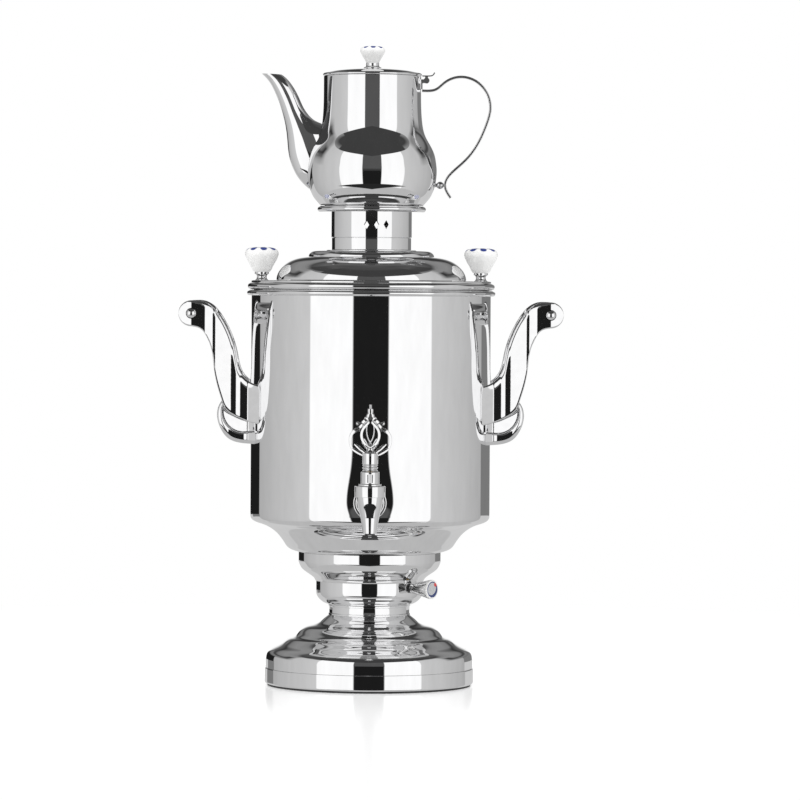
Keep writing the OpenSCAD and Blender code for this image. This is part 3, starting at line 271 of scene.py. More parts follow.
# Adds shader nodes by type, with inputs given as values or links
class Nodes:
    def __init__(self, tree):
        self.tree = tree

    def fill(self, node, inputs):
        for key, value in inputs.items():
            if hasattr(value, "is_linked"):
                self.tree.links.new(value, node.inputs[key])
            else:
                node.inputs[key].default_value = value

    def add(self, kind, inputs=None, **settings):
        node = self.tree.nodes.new("ShaderNode" + kind)
        for key, value in settings.items():
            setattr(node, key, value)
        self.fill(node, inputs or {})
        return node

    def math(self, operation, a, b=0.0):
        return self.add("Math", {0: a, 1: b}, operation=operation).outputs[0]

    def times(self, first, *others):
        for other in others:
            first = self.math("MULTIPLY", first, other)
        return first

    # One less a share
    def rest(self, share):
        return self.math("SUBTRACT", 1.0, share)

    # 0 below low and 1 above high, straight between
    def step(self, value, low, high):
        return self.add("MapRange", {"Value": value, "From Min": low, "From Max": high}).outputs[0]

    # a * (1 - share) + b * share
    def mix(self, share, a, b):
        return self.math("ADD", self.times(a, self.rest(share)), self.times(b, share))

    def ramp(self, value, stops):
        node = self.add("ValToRGB", {"Fac": value})
        ramp = node.color_ramp
        while len(ramp.elements) < len(stops):
            ramp.elements.new(0.5)
        for element, (place, level) in zip(ramp.elements, stops):
            element.position = place
            element.color = (*level, 1) if isinstance(level, (tuple, list)) else (level, level, level, 1)
        return node.outputs["Color"]

    # A grey level by angle, from pairs of angle and level
    def level(self, angle, whole, stops):
        colour = self.ramp(self.math("DIVIDE", angle, whole), [(a / whole, level) for a, level in stops])
        return self.add("SeparateColor", {0: colour}).outputs[0]

    def noise(self, place, scale, detail):
        return self.add("TexNoise", {"Vector": place, "Scale": scale, "Detail": detail}).outputs[0]

    # A colour that a noise darkens by up to a share of it
    def tint(self, noise, colour, share):
        return self.ramp(noise, [(0.3, [c * (1 - share) for c in colour]), (0.7, colour)])

    # A value that a noise spreads by a share of it both ways
    def spread(self, noise, value, share):
        return self.add("MapRange", {"Value": noise, "From Min": 0.3, "From Max": 0.7,
                "To Min": value * (1 - share), "To Max": value * (1 + share)}).outputs[0]

    def bump(self, height, distance, strength):
        return self.add("Bump", {"Height": height, "Distance": distance, "Strength": strength}).outputs[0]

    def glow(self, kind, strength):
        return self.add(kind, {"Color": (1, 1, 1, 1), "Strength": strength}).outputs[0]


# The walls by azimuth, then each panel laid over them where its steps say so
def makeWorld(panels, grey, high, beside, edges, slopes):
    world = bpy.data.worlds.new("studio")
    bpy.context.scene.world = world
    world.use_nodes = True
    world.node_tree.nodes.clear()
    n = Nodes(world.node_tree)
    axes = n.add("SeparateXYZ", {0: n.add("TexCoord").outputs["Generated"]}).outputs
    turn = n.math("ARCTAN2", axes["X"], n.times(axes["Y"], -1.0))
    azimuth = n.math("ABSOLUTE", n.times(turn, 180 / math.pi))
    height = n.times(n.math("ARCSINE", axes["Z"]), 180 / math.pi)
    onRight = n.step(axes["X"], -0.05, 0.05)

    def around(name):
        return n.step(azimuth, *edges[name])

    def upwards(name):
        return n.step(height, *edges[name])

    walls = n.level(azimuth, 180.0, panels)
    walls = n.mix(n.times(n.rest(around("centre")), upwards("centreFoot")), walls, grey["upperCentre"])
    strips = n.level(height, 90.0, high)
    walls = n.mix(n.times(around("behind"), upwards("stripsFoot")), walls, strips)
    line = n.times(upwards("lineFoot"), n.rest(around("lineEnd")), n.rest(onRight))
    low = n.times(around("back"), n.rest(upwards("low")))
    walls = n.mix(low, walls, n.mix(line, grey["backLow"], grey["leftLow"]))
    top = n.math("ADD", slopes["top"], n.times(azimuth, slopes["rise"]))
    above = n.step(n.math("SUBTRACT", height, top), -slopes["blur"], slopes["blur"])
    walls = n.mix(above, walls, n.mix(n.rest(around("front")), strips, grey["shade"]))
    walls = n.mix(upwards("top"), walls, strips)
    walls = n.mix(n.rest(upwards("floor")), walls, grey["floor"])
    width = n.times(n.rest(n.math("DIVIDE", azimuth, slopes["bandEnd"])), slopes["bandWidth"])
    under = n.math("SUBTRACT", n.times(height, -1.0), slopes["bandTop"])
    band = n.times(n.step(under, 0.0, 0.5), n.step(n.math("SUBTRACT", width, under), 0.0, 0.8))
    walls = n.mix(band, walls, grey["edge"])
    least = n.times(n.level(height, 90.0, beside), n.rest(around("besideEnd")))
    least = n.mix(upwards("besideFoot"), n.times(onRight, grey["rightBack"]), least)
    walls = n.math("MAXIMUM", walls, n.times(around("besideStart"), least))
    paths = n.add("LightPath").outputs
    shiny = n.math("MAXIMUM", paths["Is Glossy Ray"], paths["Is Transmission Ray"])
    seen = n.add("MixShader", {0: shiny, 1: n.glow("Background", 0.95), 2: n.glow("Background", walls)})
    out = n.add("MixShader", {0: paths["Is Camera Ray"], 1: seen.outputs[0], 2: n.glow("Background", 1.0)})
    n.add("OutputWorld", {"Surface": out.outputs[0]})


makeWorld(studioPanels, studioLevels, studioHigh, studioBeside, studioEdges, studioSlopes)

# Materials, all worked out from object coordinates


def newMaterial(name):
    material = bpy.data.materials.new(name)
    material.use_nodes = True
    n = Nodes(material.node_tree)
    shader = material.node_tree.nodes["Principled BSDF"]
    place = n.add("TexCoord").outputs["Object"]
    return material, n, shader, place


# Metal: colour and roughness drift with a soft noise, and a bump of two scales gives spun steel's
# faint waves and lines
def metal(name, colour, rough, wave=0.02, line=0.0, stretch=(1, 1, 1), scale=60.0):
    material, n, shader, place = newMaterial(name)
    place = n.add("Mapping", {"Vector": place, "Scale": stretch}).outputs[0]
    drift = n.noise(place, scale, 4.0)
    height = n.math("ADD", n.times(n.noise(place, scale / 5, 2.0), wave), n.times(drift, line))
    n.fill(shader, {"Base Color": n.tint(drift, colour, 0.06), "Roughness": n.spread(drift, rough, 0.3),
            "Metallic": 1.0, "Normal": n.bump(height, 0.001, 1.0)})
    return material


# Paint, plastic, rubber or glaze: a mottled colour, uneven roughness and a fine bump
def coating(name, colour, rough, grain=0.05, scale=400.0, coat=0.0, mottle=0.06, metallic=0.0):
    material, n, shader, place = newMaterial(name)
    wide = n.noise(place, scale / 12, 3.0)
    n.fill(shader, {"Base Color": n.tint(wide, colour, mottle), "Roughness": n.spread(wide, rough, 0.2),
            "Normal": n.bump(n.noise(place, scale, 5.0), 0.0005, grain), "Coat Weight": coat,
            "Coat Roughness": 0.05, "Metallic": metallic})
    return material


# A glaze with a painted colour where the mesh's paint attribute is 1, its edge blurred by a fine noise.
# The glow is painted light: an emission that brightens the white body, whose base colour is kept darker.
def paintedGlaze(name, colour, paint, rough, glow):
    material = coating(name, colour, rough, grain=0.006, scale=300.0, coat=0.6, mottle=0.03)
    n = Nodes(material.node_tree)
    shader = material.node_tree.nodes["Principled BSDF"]
    place = n.add("TexCoord").outputs["Object"]
    blur = n.times(n.math("SUBTRACT", n.noise(place, 700.0, 3.0), 0.5), 0.35)
    edge = n.step(n.math("ADD", n.add("Attribute", attribute_name="paint").outputs["Fac"], blur), 0.35, 0.65)
    base = shader.inputs["Base Color"].links[0].from_socket
    mixed = n.add("Mix", {0: edge, 6: base, 7: (*paint, 1)}, data_type="RGBA").outputs[2]
    n.fill(shader, {"Base Color": mixed, "Emission Color": mixed, "Emission Strength": glow})
    return material


mirror = metal("mirrorSteel", (0.95, 0.95, 0.955), 0.022, wave=0.0014, stretch=(2.5, 2.5, 0.5), scale=40.0)
smallMirror = metal("castSteel", (0.94, 0.94, 0.945), 0.035, wave=0.0015, line=0.0004, scale=150.0)
satin = metal("satinSteel", (0.9, 0.9, 0.9), 0.2, wave=0.002, line=0.0005, scale=200.0)
brushed = metal("plainSteel", (0.78, 0.78, 0.77), 0.3, wave=0.05, line=0.08, scale=500.0)
brass = metal("brass", (0.83, 0.62, 0.3), 0.22, wave=0.05, line=0.04, scale=400.0)
copper = metal("copper", (0.8, 0.47, 0.33), 0.25, wave=0.05, line=0.04, scale=400.0)
rubber = coating("rubber", (0.03, 0.03, 0.031), 0.6, grain=0.25, scale=900.0)
blackPlastic = coating("blackPlastic", (0.015, 0.015, 0.016), 0.3, grain=0.1)
palePlastic = coating("palePlastic", (0.72, 0.72, 0.7), 0.35, grain=0.08)
insulator = coating("insulator", (0.24, 0.13, 0.07), 0.5, grain=0.15)
wireCover = coating("wireCover", (0.45, 0.05, 0.03), 0.45, grain=0.1)
# The porcelain's glow of 0.5 is painted light that lifts its darker base colour to white.
porcelain = paintedGlaze("porcelain", (0.66, 0.66, 0.655), (0.02, 0.035, 0.16), 0.09, 0.5)
baseGrey = coating("baseGrey", (0.42, 0.42, 0.42), 0.35, grain=0.08, metallic=0.3)
print("materials made")

# Base and pedestal


# A sheet's closed outline: the first points, the outer curve, the points after it, the inner curve kept
# between two heights, and the last points
def sheetOutline(outer, thickness, before=(), after=(), last=(), low=-1e9, high=1e9, inside=-1e9):
    inner = besideCurve(outer, thickness)[::-1]
    inner = inner[(inner[:, 1] > low) & (inner[:, 1] < high) & (inner[:, 0] > inside)]
    return np.vstack([np.asarray(x, float) for x in (before, outer, after, inner, last) if len(x)])


# An outline turned about the axis; one that starts and ends on the axis is closed by it
def latheMesh(outline, x=0.0, y=0.0, segments=288, sharp=30.0):
    onAxis = abs(outline[0, 0]) + abs(outline[-1, 0]) < 1e-6
    return meshFromGrid(latheGrid(outline, x, y, segments), wrapRows=not onAxis, sharp=sharp)


# A cylinder along a direction as a closed tool
def rod(start, direction, length, radius, sides=32):
    t = np.asarray(direction, float) / np.linalg.norm(direction)
    path = np.asarray(start, float) + t * np.array([0, length])[:, None]
    axis = (0, 0, 1) if abs(t[2]) < 0.9 else (1, 0, 0)
    return meshFromGrid(carryGrid(path, roundSection(sides), radius, radius, axis), wrapRows=False)


# The outline of a plain round bar or tube
def barOutline(radius, low, high, bore=0.0):
    return np.array([(bore, low), (radius, low), (radius, high), (bore, high)])


def around(radius, count, start, z):
    a = np.radians(start + np.arange(count) * 360 / count)
    return np.column_stack([radius * np.cos(a), radius * np.sin(a), np.full(count, z)])


baseBand = {"lipIn": 94.5, "low": 2.0, "floor": 3.1, "round": 2.5, "topRound": 0.5, "screwPlace": 101.5,
    "screwHole": 2.1, "glandHole": 5.1}
r, top, lip = radii["base"], levels["band"] - seat, baseBand["lipIn"]
low, turned, edge = baseBand["low"], baseBand["round"], baseBand["topRound"]
outline = np.vstack([[(lip, low)], corner(r - turned, low + turned, turned, -90, 0, 12),
        straightCurve([(r, 5.0), (r, top - 1.0)], 16), corner(r - edge, top - edge, edge, 0, 90, 5),
        [(r - sheet, top), (r - sheet, baseBand["floor"]), (lip, baseBand["floor"])]])
tools = [rod(p, (0, 0, 1), 30, baseBand["screwHole"]) for p in around(baseBand["screwPlace"], 6, 30, -5)]
tools.append(rod((0, r - 14, 10), (0, 1, 0), 28, baseBand["glandHole"]))
bandMesh = cutMesh(latheMesh(outline), tools)
addPiece("baseBand", bandMesh, "base_band")

bellShares = [(1, 0.172), (0.978, 0.278), (0.907, 0.355), (0.776, 0.432), (0.706, 0.488), (0.632, 0.545),
    (0.529, 0.594), (0.483, 0.66), (0.432, 0.722), (0.313, 0.789), (0.152, 0.853), (0.08, 0.925), (0, 1)]
outer = smoothCurve(between(bellShares, radii["neck"], r - 0.8, levels["band"], levels["neck"]), 90)
outer[:, 1] = np.minimum(outer[:, 1], levels["neck"])
outer = np.vstack([straightCurve([(r - 0.8, levels["band"]), outer[0]], 14)[:-1], outer])
spigot = r - sheet - seat
outline = sheetOutline(outer, sheet, before=[(spigot, levels["band"] - 4), (spigot, levels["band"])],
    after=[(radii["neck"] - 4, levels["neck"]), (radii["neck"] - 4, levels["neck"] - sheet)],
    high=levels["neck"] - sheet, inside=radii["neck"] - 3, last=[(spigot - 2.4, levels["band"] - 4)])
addPiece("baseBell", latheMesh(outline), "base_bell")

n0, n1, r = levels["neck"], levels["bowl"], radii["neck"]
outline = np.vstack([[(r - 1.2, n0 + seat), (r, n0 + seat)], corner(r - 0.4, n0 + 1.6, 0.4, 0, 90, 4),
        corner(r - 0.4, n0 + 2.4, 0.4, -90, -180, 4), corner(r - 0.4, n1 - 2.4, 0.4, 180, 90, 4),
        corner(r - 0.4, n1 - 1.6, 0.4, -90, 0, 4), [(r, n1 - seat), (r - 3.2, n1 - seat), (r - 3.2, n0 + 2),
        (r - 2, n0 + seat)]])
addPiece("pedestalNeck", latheMesh(outline), "pedestal_neck")

bowlShares = [(0, 0), (0.435, 0.09), (0.633, 0.17), (0.796, 0.26), (0.912, 0.36), (0.985, 0.5), (1, 0.68),
    (1, 1)]
outer = smoothCurve(between(bowlShares, r, radii["bowl"], n1, levels["collar"]), 60)
outer[:, 0] = np.minimum(outer[:, 0], radii["bowl"])
outline = sheetOutline(outer, sheet, before=[(r - 4, n1)], after=[(radii["bowl"] - sheet, levels["collar"])],
    low=n1 + sheet, high=levels["collar"] - 1, last=[(r - 4, n1 + sheet)])
dialTurn = math.radians(50)
dialWay = np.array([math.sin(dialTurn), -math.cos(dialTurn), 0])
dialFoot = np.array([0, 0, levels["dial"]])
bowlMesh = cutMesh(latheMesh(outline), [rod(dialFoot + dialWay * 55, dialWay, 12, 5.1)])
addPiece("pedestalBowl", bowlMesh, "pedestal_bowl")

collarShares = [(0.03, 0), (0.12, 0.097), (0.244, 0.165), (0.557, 0.3), (0.816, 0.435), (0.935, 0.574),
    (1, 0.7), (1, 1)]
c0, c1 = levels["collar"] + seat, levels["ogee"] - seat
outer = smoothCurve(between(collarShares, radii["bowl"], radii["collar"], c0, c1), 70)
outer[:, 0] = np.minimum(outer[:, 0], radii["collar"])
outline = sheetOutline(outer, sheet, before=[(radii["bowl"] - 4, c0)], after=[(radii["collar"] - sheet, c1)],
    low=c0 + 2.4, high=c1 - 1, last=[(radii["bowl"] - 4, c0 + sheet)])
addPiece("supportCollar", latheMesh(outline), "support_collar")
print("base and pedestal made")

# Boiler: the kettle is pressed in a little round the tap, by the depth times a bell curve of the distance
# from the dent's middle, which reaches less far below than above
dent = {"depth": 1.7, "wide": 25.0, "above": 31.0, "below": 15.0}


def pressedIn(grid, dent):
    z = grid[..., 2] - levels["tap"]
    off = np.hypot(grid[..., 0] / dent["wide"], z / np.where(z > 0, dent["above"], dent["below"]))
    pressed = dent["depth"] * np.exp(-off ** 2) * (grid[..., 1] < 0)
    out = grid.copy()
    out[..., :2] *= (1 - pressed / np.maximum(np.hypot(grid[..., 0], grid[..., 1]), 1))[..., None]
    return out


ogeeShares = [(0, 0), (0.097, 0.035), (0.191, 0.085), (0.253, 0.157), (0.297, 0.24), (0.354, 0.34),
    (0.42, 0.44), (0.51, 0.54), (0.637, 0.64), (0.779, 0.712), (0.894, 0.76), (0.968, 0.826), (0.995, 0.913),
    (1, 1)]
z0, z1, r = levels["ogee"], levels["wall"], radii["body"]
outer = smoothCurve(between(ogeeShares, radii["collar"], r, z0, z1), 110)
outer[:, 0] = np.minimum(outer[:, 0], r)
outer[:, 1] = np.maximum(outer[:, 1], z0)
outline = sheetOutline(outer, sheet, before=[(0, z0)], after=[(r - sheet, z1)], low=z0 + 2.4, high=z1 - 1,
    last=[(radii["collar"] - sheet, z0 + sheet), (0, z0 + sheet)])
bottomHoles = {"middle": 6.6, "capillary": 1.1, "legs": 4.1, "capillaryPlace": (-30, -30), "legPlace": 62,
    "legTurn": 9}
legTurn = math.radians(bottomHoles["legTurn"])
legX, legY = bottomHoles["legPlace"] * math.sin(legTurn), bottomHoles["legPlace"] * math.cos(legTurn)
holes = [(0, 0, "middle"), (*bottomHoles["capillaryPlace"], "capillary"), (-legX, legY, "legs"),
    (legX, legY, "legs")]
tools = [rod((x, y, z0 - 2), (0, 0, 1), 6, bottomHoles[name]) for x, y, name in holes]
bottomMesh = meshFromGrid(pressedIn(latheGrid(outline, segments=432), dent), wrapRows=False, sharp=30)
addPiece("kettleBottom", cutMesh(bottomMesh, tools), "kettle_bottom")

wallHoles = {"pipe": 9.6, "screw": 2.1, "screwHeights": (310.0, 342.0), "screwAzimuth": 17.58}
beadR = 3.26
beadC = (r - sheet + beadR, levels["rim"] + beadR)
lowOut = -math.degrees(math.acos((r - beadC[0]) / beadR))
outline = np.vstack([straightCurve([(r, z1), (r, beadC[1] + beadR * math.sin(math.radians(lowOut)))],
        80)[:-1], arcCurve(beadC, beadR, beadR, lowOut, 180, 40),
        straightCurve([(r - sheet, beadC[1]), (r - sheet, z1)], 80)[1:]])
tools = [rod((0, -128, levels["tap"]), (0, -1, 0), 20, wallHoles["pipe"], 48)]
for side in (0, 180):
    for s in (-1, 1):
        a = math.radians(side + s * wallHoles["screwAzimuth"])
        tools += [rod((130 * math.cos(a), 130 * math.sin(a), z), (math.cos(a), math.sin(a), 0), 20,
                wallHoles["screw"], 24) for z in wallHoles["screwHeights"]]
wallMesh = cutMesh(meshFromGrid(pressedIn(latheGrid(outline, segments=432), dent)), tools)
addPiece("kettleWall", wallMesh, "kettle_wall")
print("boiler made")

# Lid
lidBead, liftGap, wall = 4.2, 0.3, 1.0
edgeR, beadZ = radii["lid"] - lidBead, levels["rimTop"] + liftGap + lidBead
skirtR = r - sheet - 1.3
startA = -math.degrees(math.acos((skirtR - edgeR) / lidBead))
ledge, step, stepR, domeW = levels["ledge"], levels["step"], radii["step"], radii["dome"] - radii["step"]
outline = np.vstack([corner(edgeR, beadZ, lidBead, startA, 88, 36),
        corner(edgeR - 1, ledge - 1, 1, 0, 90, 8), straightCurve([(edgeR - 1, ledge),
        (radii["dome"] + 0.6, ledge)], 14)[1:], arcCurve((stepR, ledge), domeW, 27.7, 1.5, 84, 60),
        arcCurve((stepR - 7, step), 7, 6.6, 0, 90, 24), [(radii["tube"] - 1, levels["lidTop"]),
        (radii["tube"] - 1, levels["lidTop"] - 1), (stepR - 7, levels["lidTop"] - 1), (stepR - 1, step - 1)],
        arcCurve((stepR, ledge), domeW - 1, 26.7, 90, 0, 40),
        [(radii["dome"] - 1, ledge - 1), (skirtR - 1, ledge - 1), (skirtR - 1, levels["rimTop"] - 11),
        (skirtR, levels["rimTop"] - 11)]])
lidKnob = {"place": 126.8, "bore": 2.1, "radius": 19.5, "height": 28.6, "cupRadius": 9.75, "cup": 9.8,
    "turn": 9}
tools = [rod((s * lidKnob["place"], 0, ledge - 4), (0, 0, 1), 8, lidKnob["bore"]) for s in (-1, 1)]
lidMesh = cutMesh(latheMesh(outline), tools)
addPiece("boilerLid", lidMesh, "boiler_lid", "lid")

t0 = levels["lidTop"] + seat
outline = np.vstack([[(radii["tube"] - 1, t0), (radii["tube"] + 6, t0)],
        corner(radii["tube"] + 5.5, t0 + 0.5, 0.5, 0, 90, 4),
        corner(radii["tube"] + 0.8, t0 + 1.8, 0.8, -90, -180, 5),
        [(radii["tube"], levels["tubeTop"] - 0.3), (radii["tube"] - 0.3, levels["tubeTop"]),
        (radii["tube"] - 1, levels["tubeTop"])]])
addPiece("lidCollar", latheMesh(outline), "lid_collar", "lid")

# Porcelain knob: shares of radius and height joined by a smooth curve, with a bore for its screw.
# The paint attribute is 1 on dabs round the shoulder: distance along the arc and up the slope, over the
# dab's size
knobShares = [(0.475, 0), (0.53, 0.04), (0.64, 0.18), (0.82, 0.4), (0.96, 0.6), (1, 0.72), (0.97, 0.83),
    (0.87, 0.92), (0.66, 0.975), (0.3, 1)]
dabs = {"count": 8, "share": 0.935, "width": 0.2, "height": 0.07}


def knobMesh(x, z, radius, height, turn):
    outer = smoothCurve(between(knobShares + [(0, 1)], 0, radius, 0, height), 110)
    outer[-1, 0] = 0
    outline = np.vstack([[(0, 0.6 * height), (2.1, 0.6 * height), (2.1, 0)], outer])
    mesh = latheMesh(outline + [0, z], x, 0.0, 240)
    co = vertexPlaces(mesh) - [x, 0, z]
    angle = np.degrees(np.arctan2(co[:, 0], -co[:, 1])) - turn
    step = 360 / dabs["count"]
    off = np.radians((angle + step / 2) % step - step / 2) * np.hypot(co[:, 0], co[:, 1]) / radius
    up = co[:, 2] / height - dabs["share"]
    paint = np.clip(1.5 - np.hypot(off / dabs["width"], up / dabs["height"]), 0, 1)
    mesh.attributes.new("paint", "FLOAT", "POINT").data.foreach_set("value", paint.astype(np.float32))
    return mesh


def ferruleMesh(x, z, radius, height):
    shares = [(0.86, 0), (0.7, 0.1), (0.59, 0.3), (0.6, 0.52), (0.72, 0.7)]
    waist = smoothCurve(between(shares, 0, radius, 0, height), 32)
    cup = 0.84 * radius
    outline = np.vstack([[(2.1, 0)], waist, [(cup, 0.74 * height)],
            corner(cup - 0.4, height - 0.4, 0.4, 0, 90, 4), [(2.1, height)]])
    return latheMesh(outline + [0, z], x, 0.0, 144)


for side, s in (("left", -1), ("right", 1)):
    x = s * lidKnob["place"]
    addPiece(side + "LidFerrule", ferruleMesh(x, ledge, lidKnob["cupRadius"], lidKnob["cup"]),
        side + "_lid_ferrule", "lid")
    addPiece(side + "LidKnob", knobMesh(x, ledge + lidKnob["cup"], lidKnob["radius"], lidKnob["height"],
            lidKnob["turn"]), side + "_lid_knob", "lid", porcelain)
print("lid made")

# Crown
crownR, spigotR, z0, z1 = 46.7, 44.7, levels["crown"], levels["flange"]
outline = np.vstack([[(spigotR - 1, z0 - 12), (spigotR, z0 - 12), (spigotR, z0)],
        corner(crownR - 0.4, z0 + 0.4, 0.4, -90, 0, 4), straightCurve([(crownR, z0 + 1), (crownR, z1)], 10),
        [(crownR - 1, z1)], straightCurve([(crownR - 1, z1 - 1), (crownR - 1, z0 + 2.4)], 9),
        [(spigotR - 1, z0 + 1.2)]])
vents = {"width": 6.2, "height": 10.4, "turn": 14.0, "count": 3}


# A diamond tool: four corners across and up, pushed outwards between two radii
def diamond(turn, z, width, height, r0, r1):
    a = math.radians(turn)
    out, across = np.array([math.sin(a), -math.cos(a), 0]), np.array([math.cos(a), math.sin(a), 0])
    corners = [across * width / 2, np.array([0, 0, height / 2]), -across * width / 2,
        np.array([0, 0, -height / 2])]
    loops = [[out * d + np.array([0, 0, z]) + c for c in corners] for d in (r0, r1)]
    caps = [[out * d + np.array([0, 0, z])] * 4 for d in (r0, r1)]
    return meshFromGrid(np.array([caps[0], loops[0], loops[1], caps[1]]), wrapRows=False, sharp=20)


tools = [diamond(half + vents["turn"] * (i - 0.5), (z0 + z1) / 2, vents["width"], vents["height"], 38, 52)
    for half in (0, 180) for i in range(vents["count"])]
sleeveMesh = cutMesh(latheMesh(outline), tools)
addPiece("crownSleeve", sleeveMesh, "crown_sleeve", "crown")

beadR = 3.4
beadC = (radii["flange"] - beadR, z1 + beadR)
meet = 180 + math.degrees(math.asin((beadR - sheet) / beadR))
outline = np.vstack([[(crownR - 1, z1)], arcCurve(beadC, beadR, beadR, -90, meet, 40),
        [(crownR - 1, z1 + sheet)]])
addPiece("crownFlange", latheMesh(outline), "crown_flange", "crown")

# Teapot
potShares = [(0.16, 0), (0.37, 0.03), (0.572, 0.061), (0.77, 0.107), (0.963, 0.202), (1, 0.281),
    (0.957, 0.334), (0.861, 0.396), (0.588, 0.473), (0.257, 0.55), (0.086, 0.642), (0.021, 0.742), (0, 0.87),
    (0, 1)]
p0, pr = levels["pot"], levels["potRim"]
potCurve = smoothCurve(between(potShares, radii["potNeck"], radii["belly"], p0, pr), 160)
potCurve[:, 0] = np.minimum(potCurve[:, 0], radii["belly"])
outline = sheetOutline(potCurve, 1.0, before=[(0, p0)], after=[(radii["potNeck"] - 1, pr)], low=p0 + 2,
    high=pr - 1, last=[(radii["potNeck"], p0 + 1), (0, p0 + 1)])
strainer = {"start": -76.3, "reach": 37.6, "pitch": 7.5, "hole": 2.2, "rows": 5, "height": 0.24}
strainZ, pitch = p0 + strainer["height"] * potHeight, strainer["pitch"]
tools = [rod((strainer["start"], col * pitch, strainZ + row * pitch), (1, 0, 0), strainer["reach"],
        strainer["hole"], 24) for row in range(strainer["rows"]) for col in (-1, 0, 1)]
potMesh = cutMesh(latheMesh(outline), tools)
addPiece("teapotBody", potMesh, "teapot_body", "teapot")

outline = np.vstack([[(0, levels["potBase"])], corner(54.2, levels["potBase"] + 0.8, 0.8, -90, 0, 6),
        corner(54.6, levels["pot"] - 0.5, 0.4, 0, 90, 4), [(0, levels["pot"] - 0.1)]])
addPiece("teapotBase", latheMesh(outline), "teapot_base", "teapot", material=baseGrey)


def potTool(grow):
    outer = besideCurve(potCurve, -grow)
    outline = np.vstack([[(0, p0)], outer, [(0, pr)]])
    return latheMesh(outline)


# Spout: each row is an ellipse between an outer and an inner edge point; rows are smoothed, and the
# inner skin is the same rows drawn in by the sheet
spoutShares = [(-1.703, 1.019, -1.394, 1.011, 0.12), (-1.599, 0.964, -1.313, 0.978, 0.139),
    (-1.507, 0.884, -1.214, 0.914, 0.153), (-1.430, 0.792, -1.130, 0.837, 0.159),
    (-1.373, 0.700, -1.062, 0.762, 0.17), (-1.331, 0.608, -0.983, 0.703, 0.186),
    (-1.304, 0.499, -0.877, 0.656, 0.206), (-1.271, 0.372, -0.744, 0.625, 0.226),
    (-1.159, 0.233, -0.664, 0.573, 0.239), (-0.903, 0.104, -0.611, 0.506, 0.239)]


def spoutGrid(shares, inset, rows=110, sides=72):
    s = smoothCurve(shares, rows)
    p = np.column_stack([s[:, 0] * radii["belly"], p0 + s[:, 1] * potHeight])
    q = np.column_stack([s[:, 2] * radii["belly"], p0 + s[:, 3] * potHeight])
    length = np.linalg.norm(p - q, axis=1)[:, None]
    c, h = (p + q) / 2, (p - q) / 2 * (1 - 2 * inset / length)
    w = s[:, 4:5] * radii["belly"] - inset
    a = np.linspace(0, 2 * np.pi, sides, endpoint=False)
    return np.stack([c[:, :1] + h[:, :1] * np.cos(a), w * np.sin(a), c[:, 1:] + h[:, 1:] * np.cos(a)],
        axis=2)


grid = np.concatenate([spoutGrid(spoutShares, 0), spoutGrid(spoutShares, 1.0)[::-1]])
spoutMesh = cutMesh(meshFromGrid(grid), [potTool(0.1)], sharp=35)
addPiece("teapotSpout", spoutMesh, "teapot_spout", "teapot")

stripShares = [(0.01, 0.892), (0.13, 0.892), (0.2, 0.9), (0.335, 0.955), (0.6, 1.0), (0.805, 0.962),
    (0.945, 0.878), (1, 0.768), (0.945, 0.634), (0.82, 0.483), (0.648, 0.358), (0.46, 0.265), (0.373, 0.207),
    (0.349, 0.161), (0.38, 0.106), (0.432, 0.064)]
line = smoothCurve([(radii["potNeck"] + x * 80, p0 + z * potHeight) for x, z in stripShares], 200)
path = np.column_stack([line[:, 0], np.zeros(len(line)), line[:, 1]])
stripMesh = meshFromGrid(carryGrid(path, softSection(6, 48), 7.0, 1.6), wrapRows=False, sharp=50)
addPiece("teapotHandle", stripMesh, "teapot_handle", "teapot")

ballR, ballZ = 4.3, p0 + 0.161 * potHeight
stripIn = radii["potNeck"] + 0.349 * 80 - 1.3
ball = corner(0, 0, ballR, -180, 0, 48)
stem = np.array([(-ballR * 0.866, ballR / 2), (-ballR - 9, ballR / 2)])
path = np.vstack([[(-ballR - 9, 0)], stem[::-1], np.column_stack([ball[8:, 0], -ball[8:, 1]])])
grid = latheGrid(np.column_stack([abs(path[:, 1]), path[:, 0]]), segments=48)
grid = np.stack([grid[..., 2] + stripIn - ballR, grid[..., 1], grid[..., 0] + ballZ], axis=2)
spacerMesh = cutMesh(meshFromGrid(grid, wrapRows=False), [potTool(0.1)])
addPiece("handleSpacer", spacerMesh, "handle_spacer", "teapot", material=smallMirror)

lidZ, lidR, edge, roll, lidH, holeR = levels["potLid"], radii["potNeck"] + 1, 3.6, 1.8, 9.5, 2.1
leverHole = {"place": (62.5, -6, 699.5), "reach": 12, "radius": 3.8}
low = [(0.86, 0.55), (0.6, 0.79), (0.3, 0.94)]
low = np.array([(a * lidR, lidZ + b * lidH) for a, b in low])
top = smoothCurve(np.vstack([[(lidR - roll, lidZ + edge)], low, [(9.1, lidZ + lidH)]]), 60)
skirt = radii["potNeck"] - 1 - 1.3
outline = np.vstack([corner(lidR - roll, lidZ + roll, roll, -90, 78, 20), top[1:],
        [(holeR, lidZ + lidH), (holeR, lidZ + lidH - 1), (7.6, lidZ + lidH - 1)], (low - [0, 1])[::-1],
        [(skirt - 1, lidZ + 1), (skirt - 1, pr - 2.6), (skirt, pr - 2.6), (skirt, lidZ)]])
tools = [rod(leverHole["place"], (0, 1, 0), leverHole["reach"], leverHole["radius"])]
coverMesh = cutMesh(latheMesh(outline), tools)
addPiece("teapotLid", coverMesh, "teapot_lid", "teapot_cover")

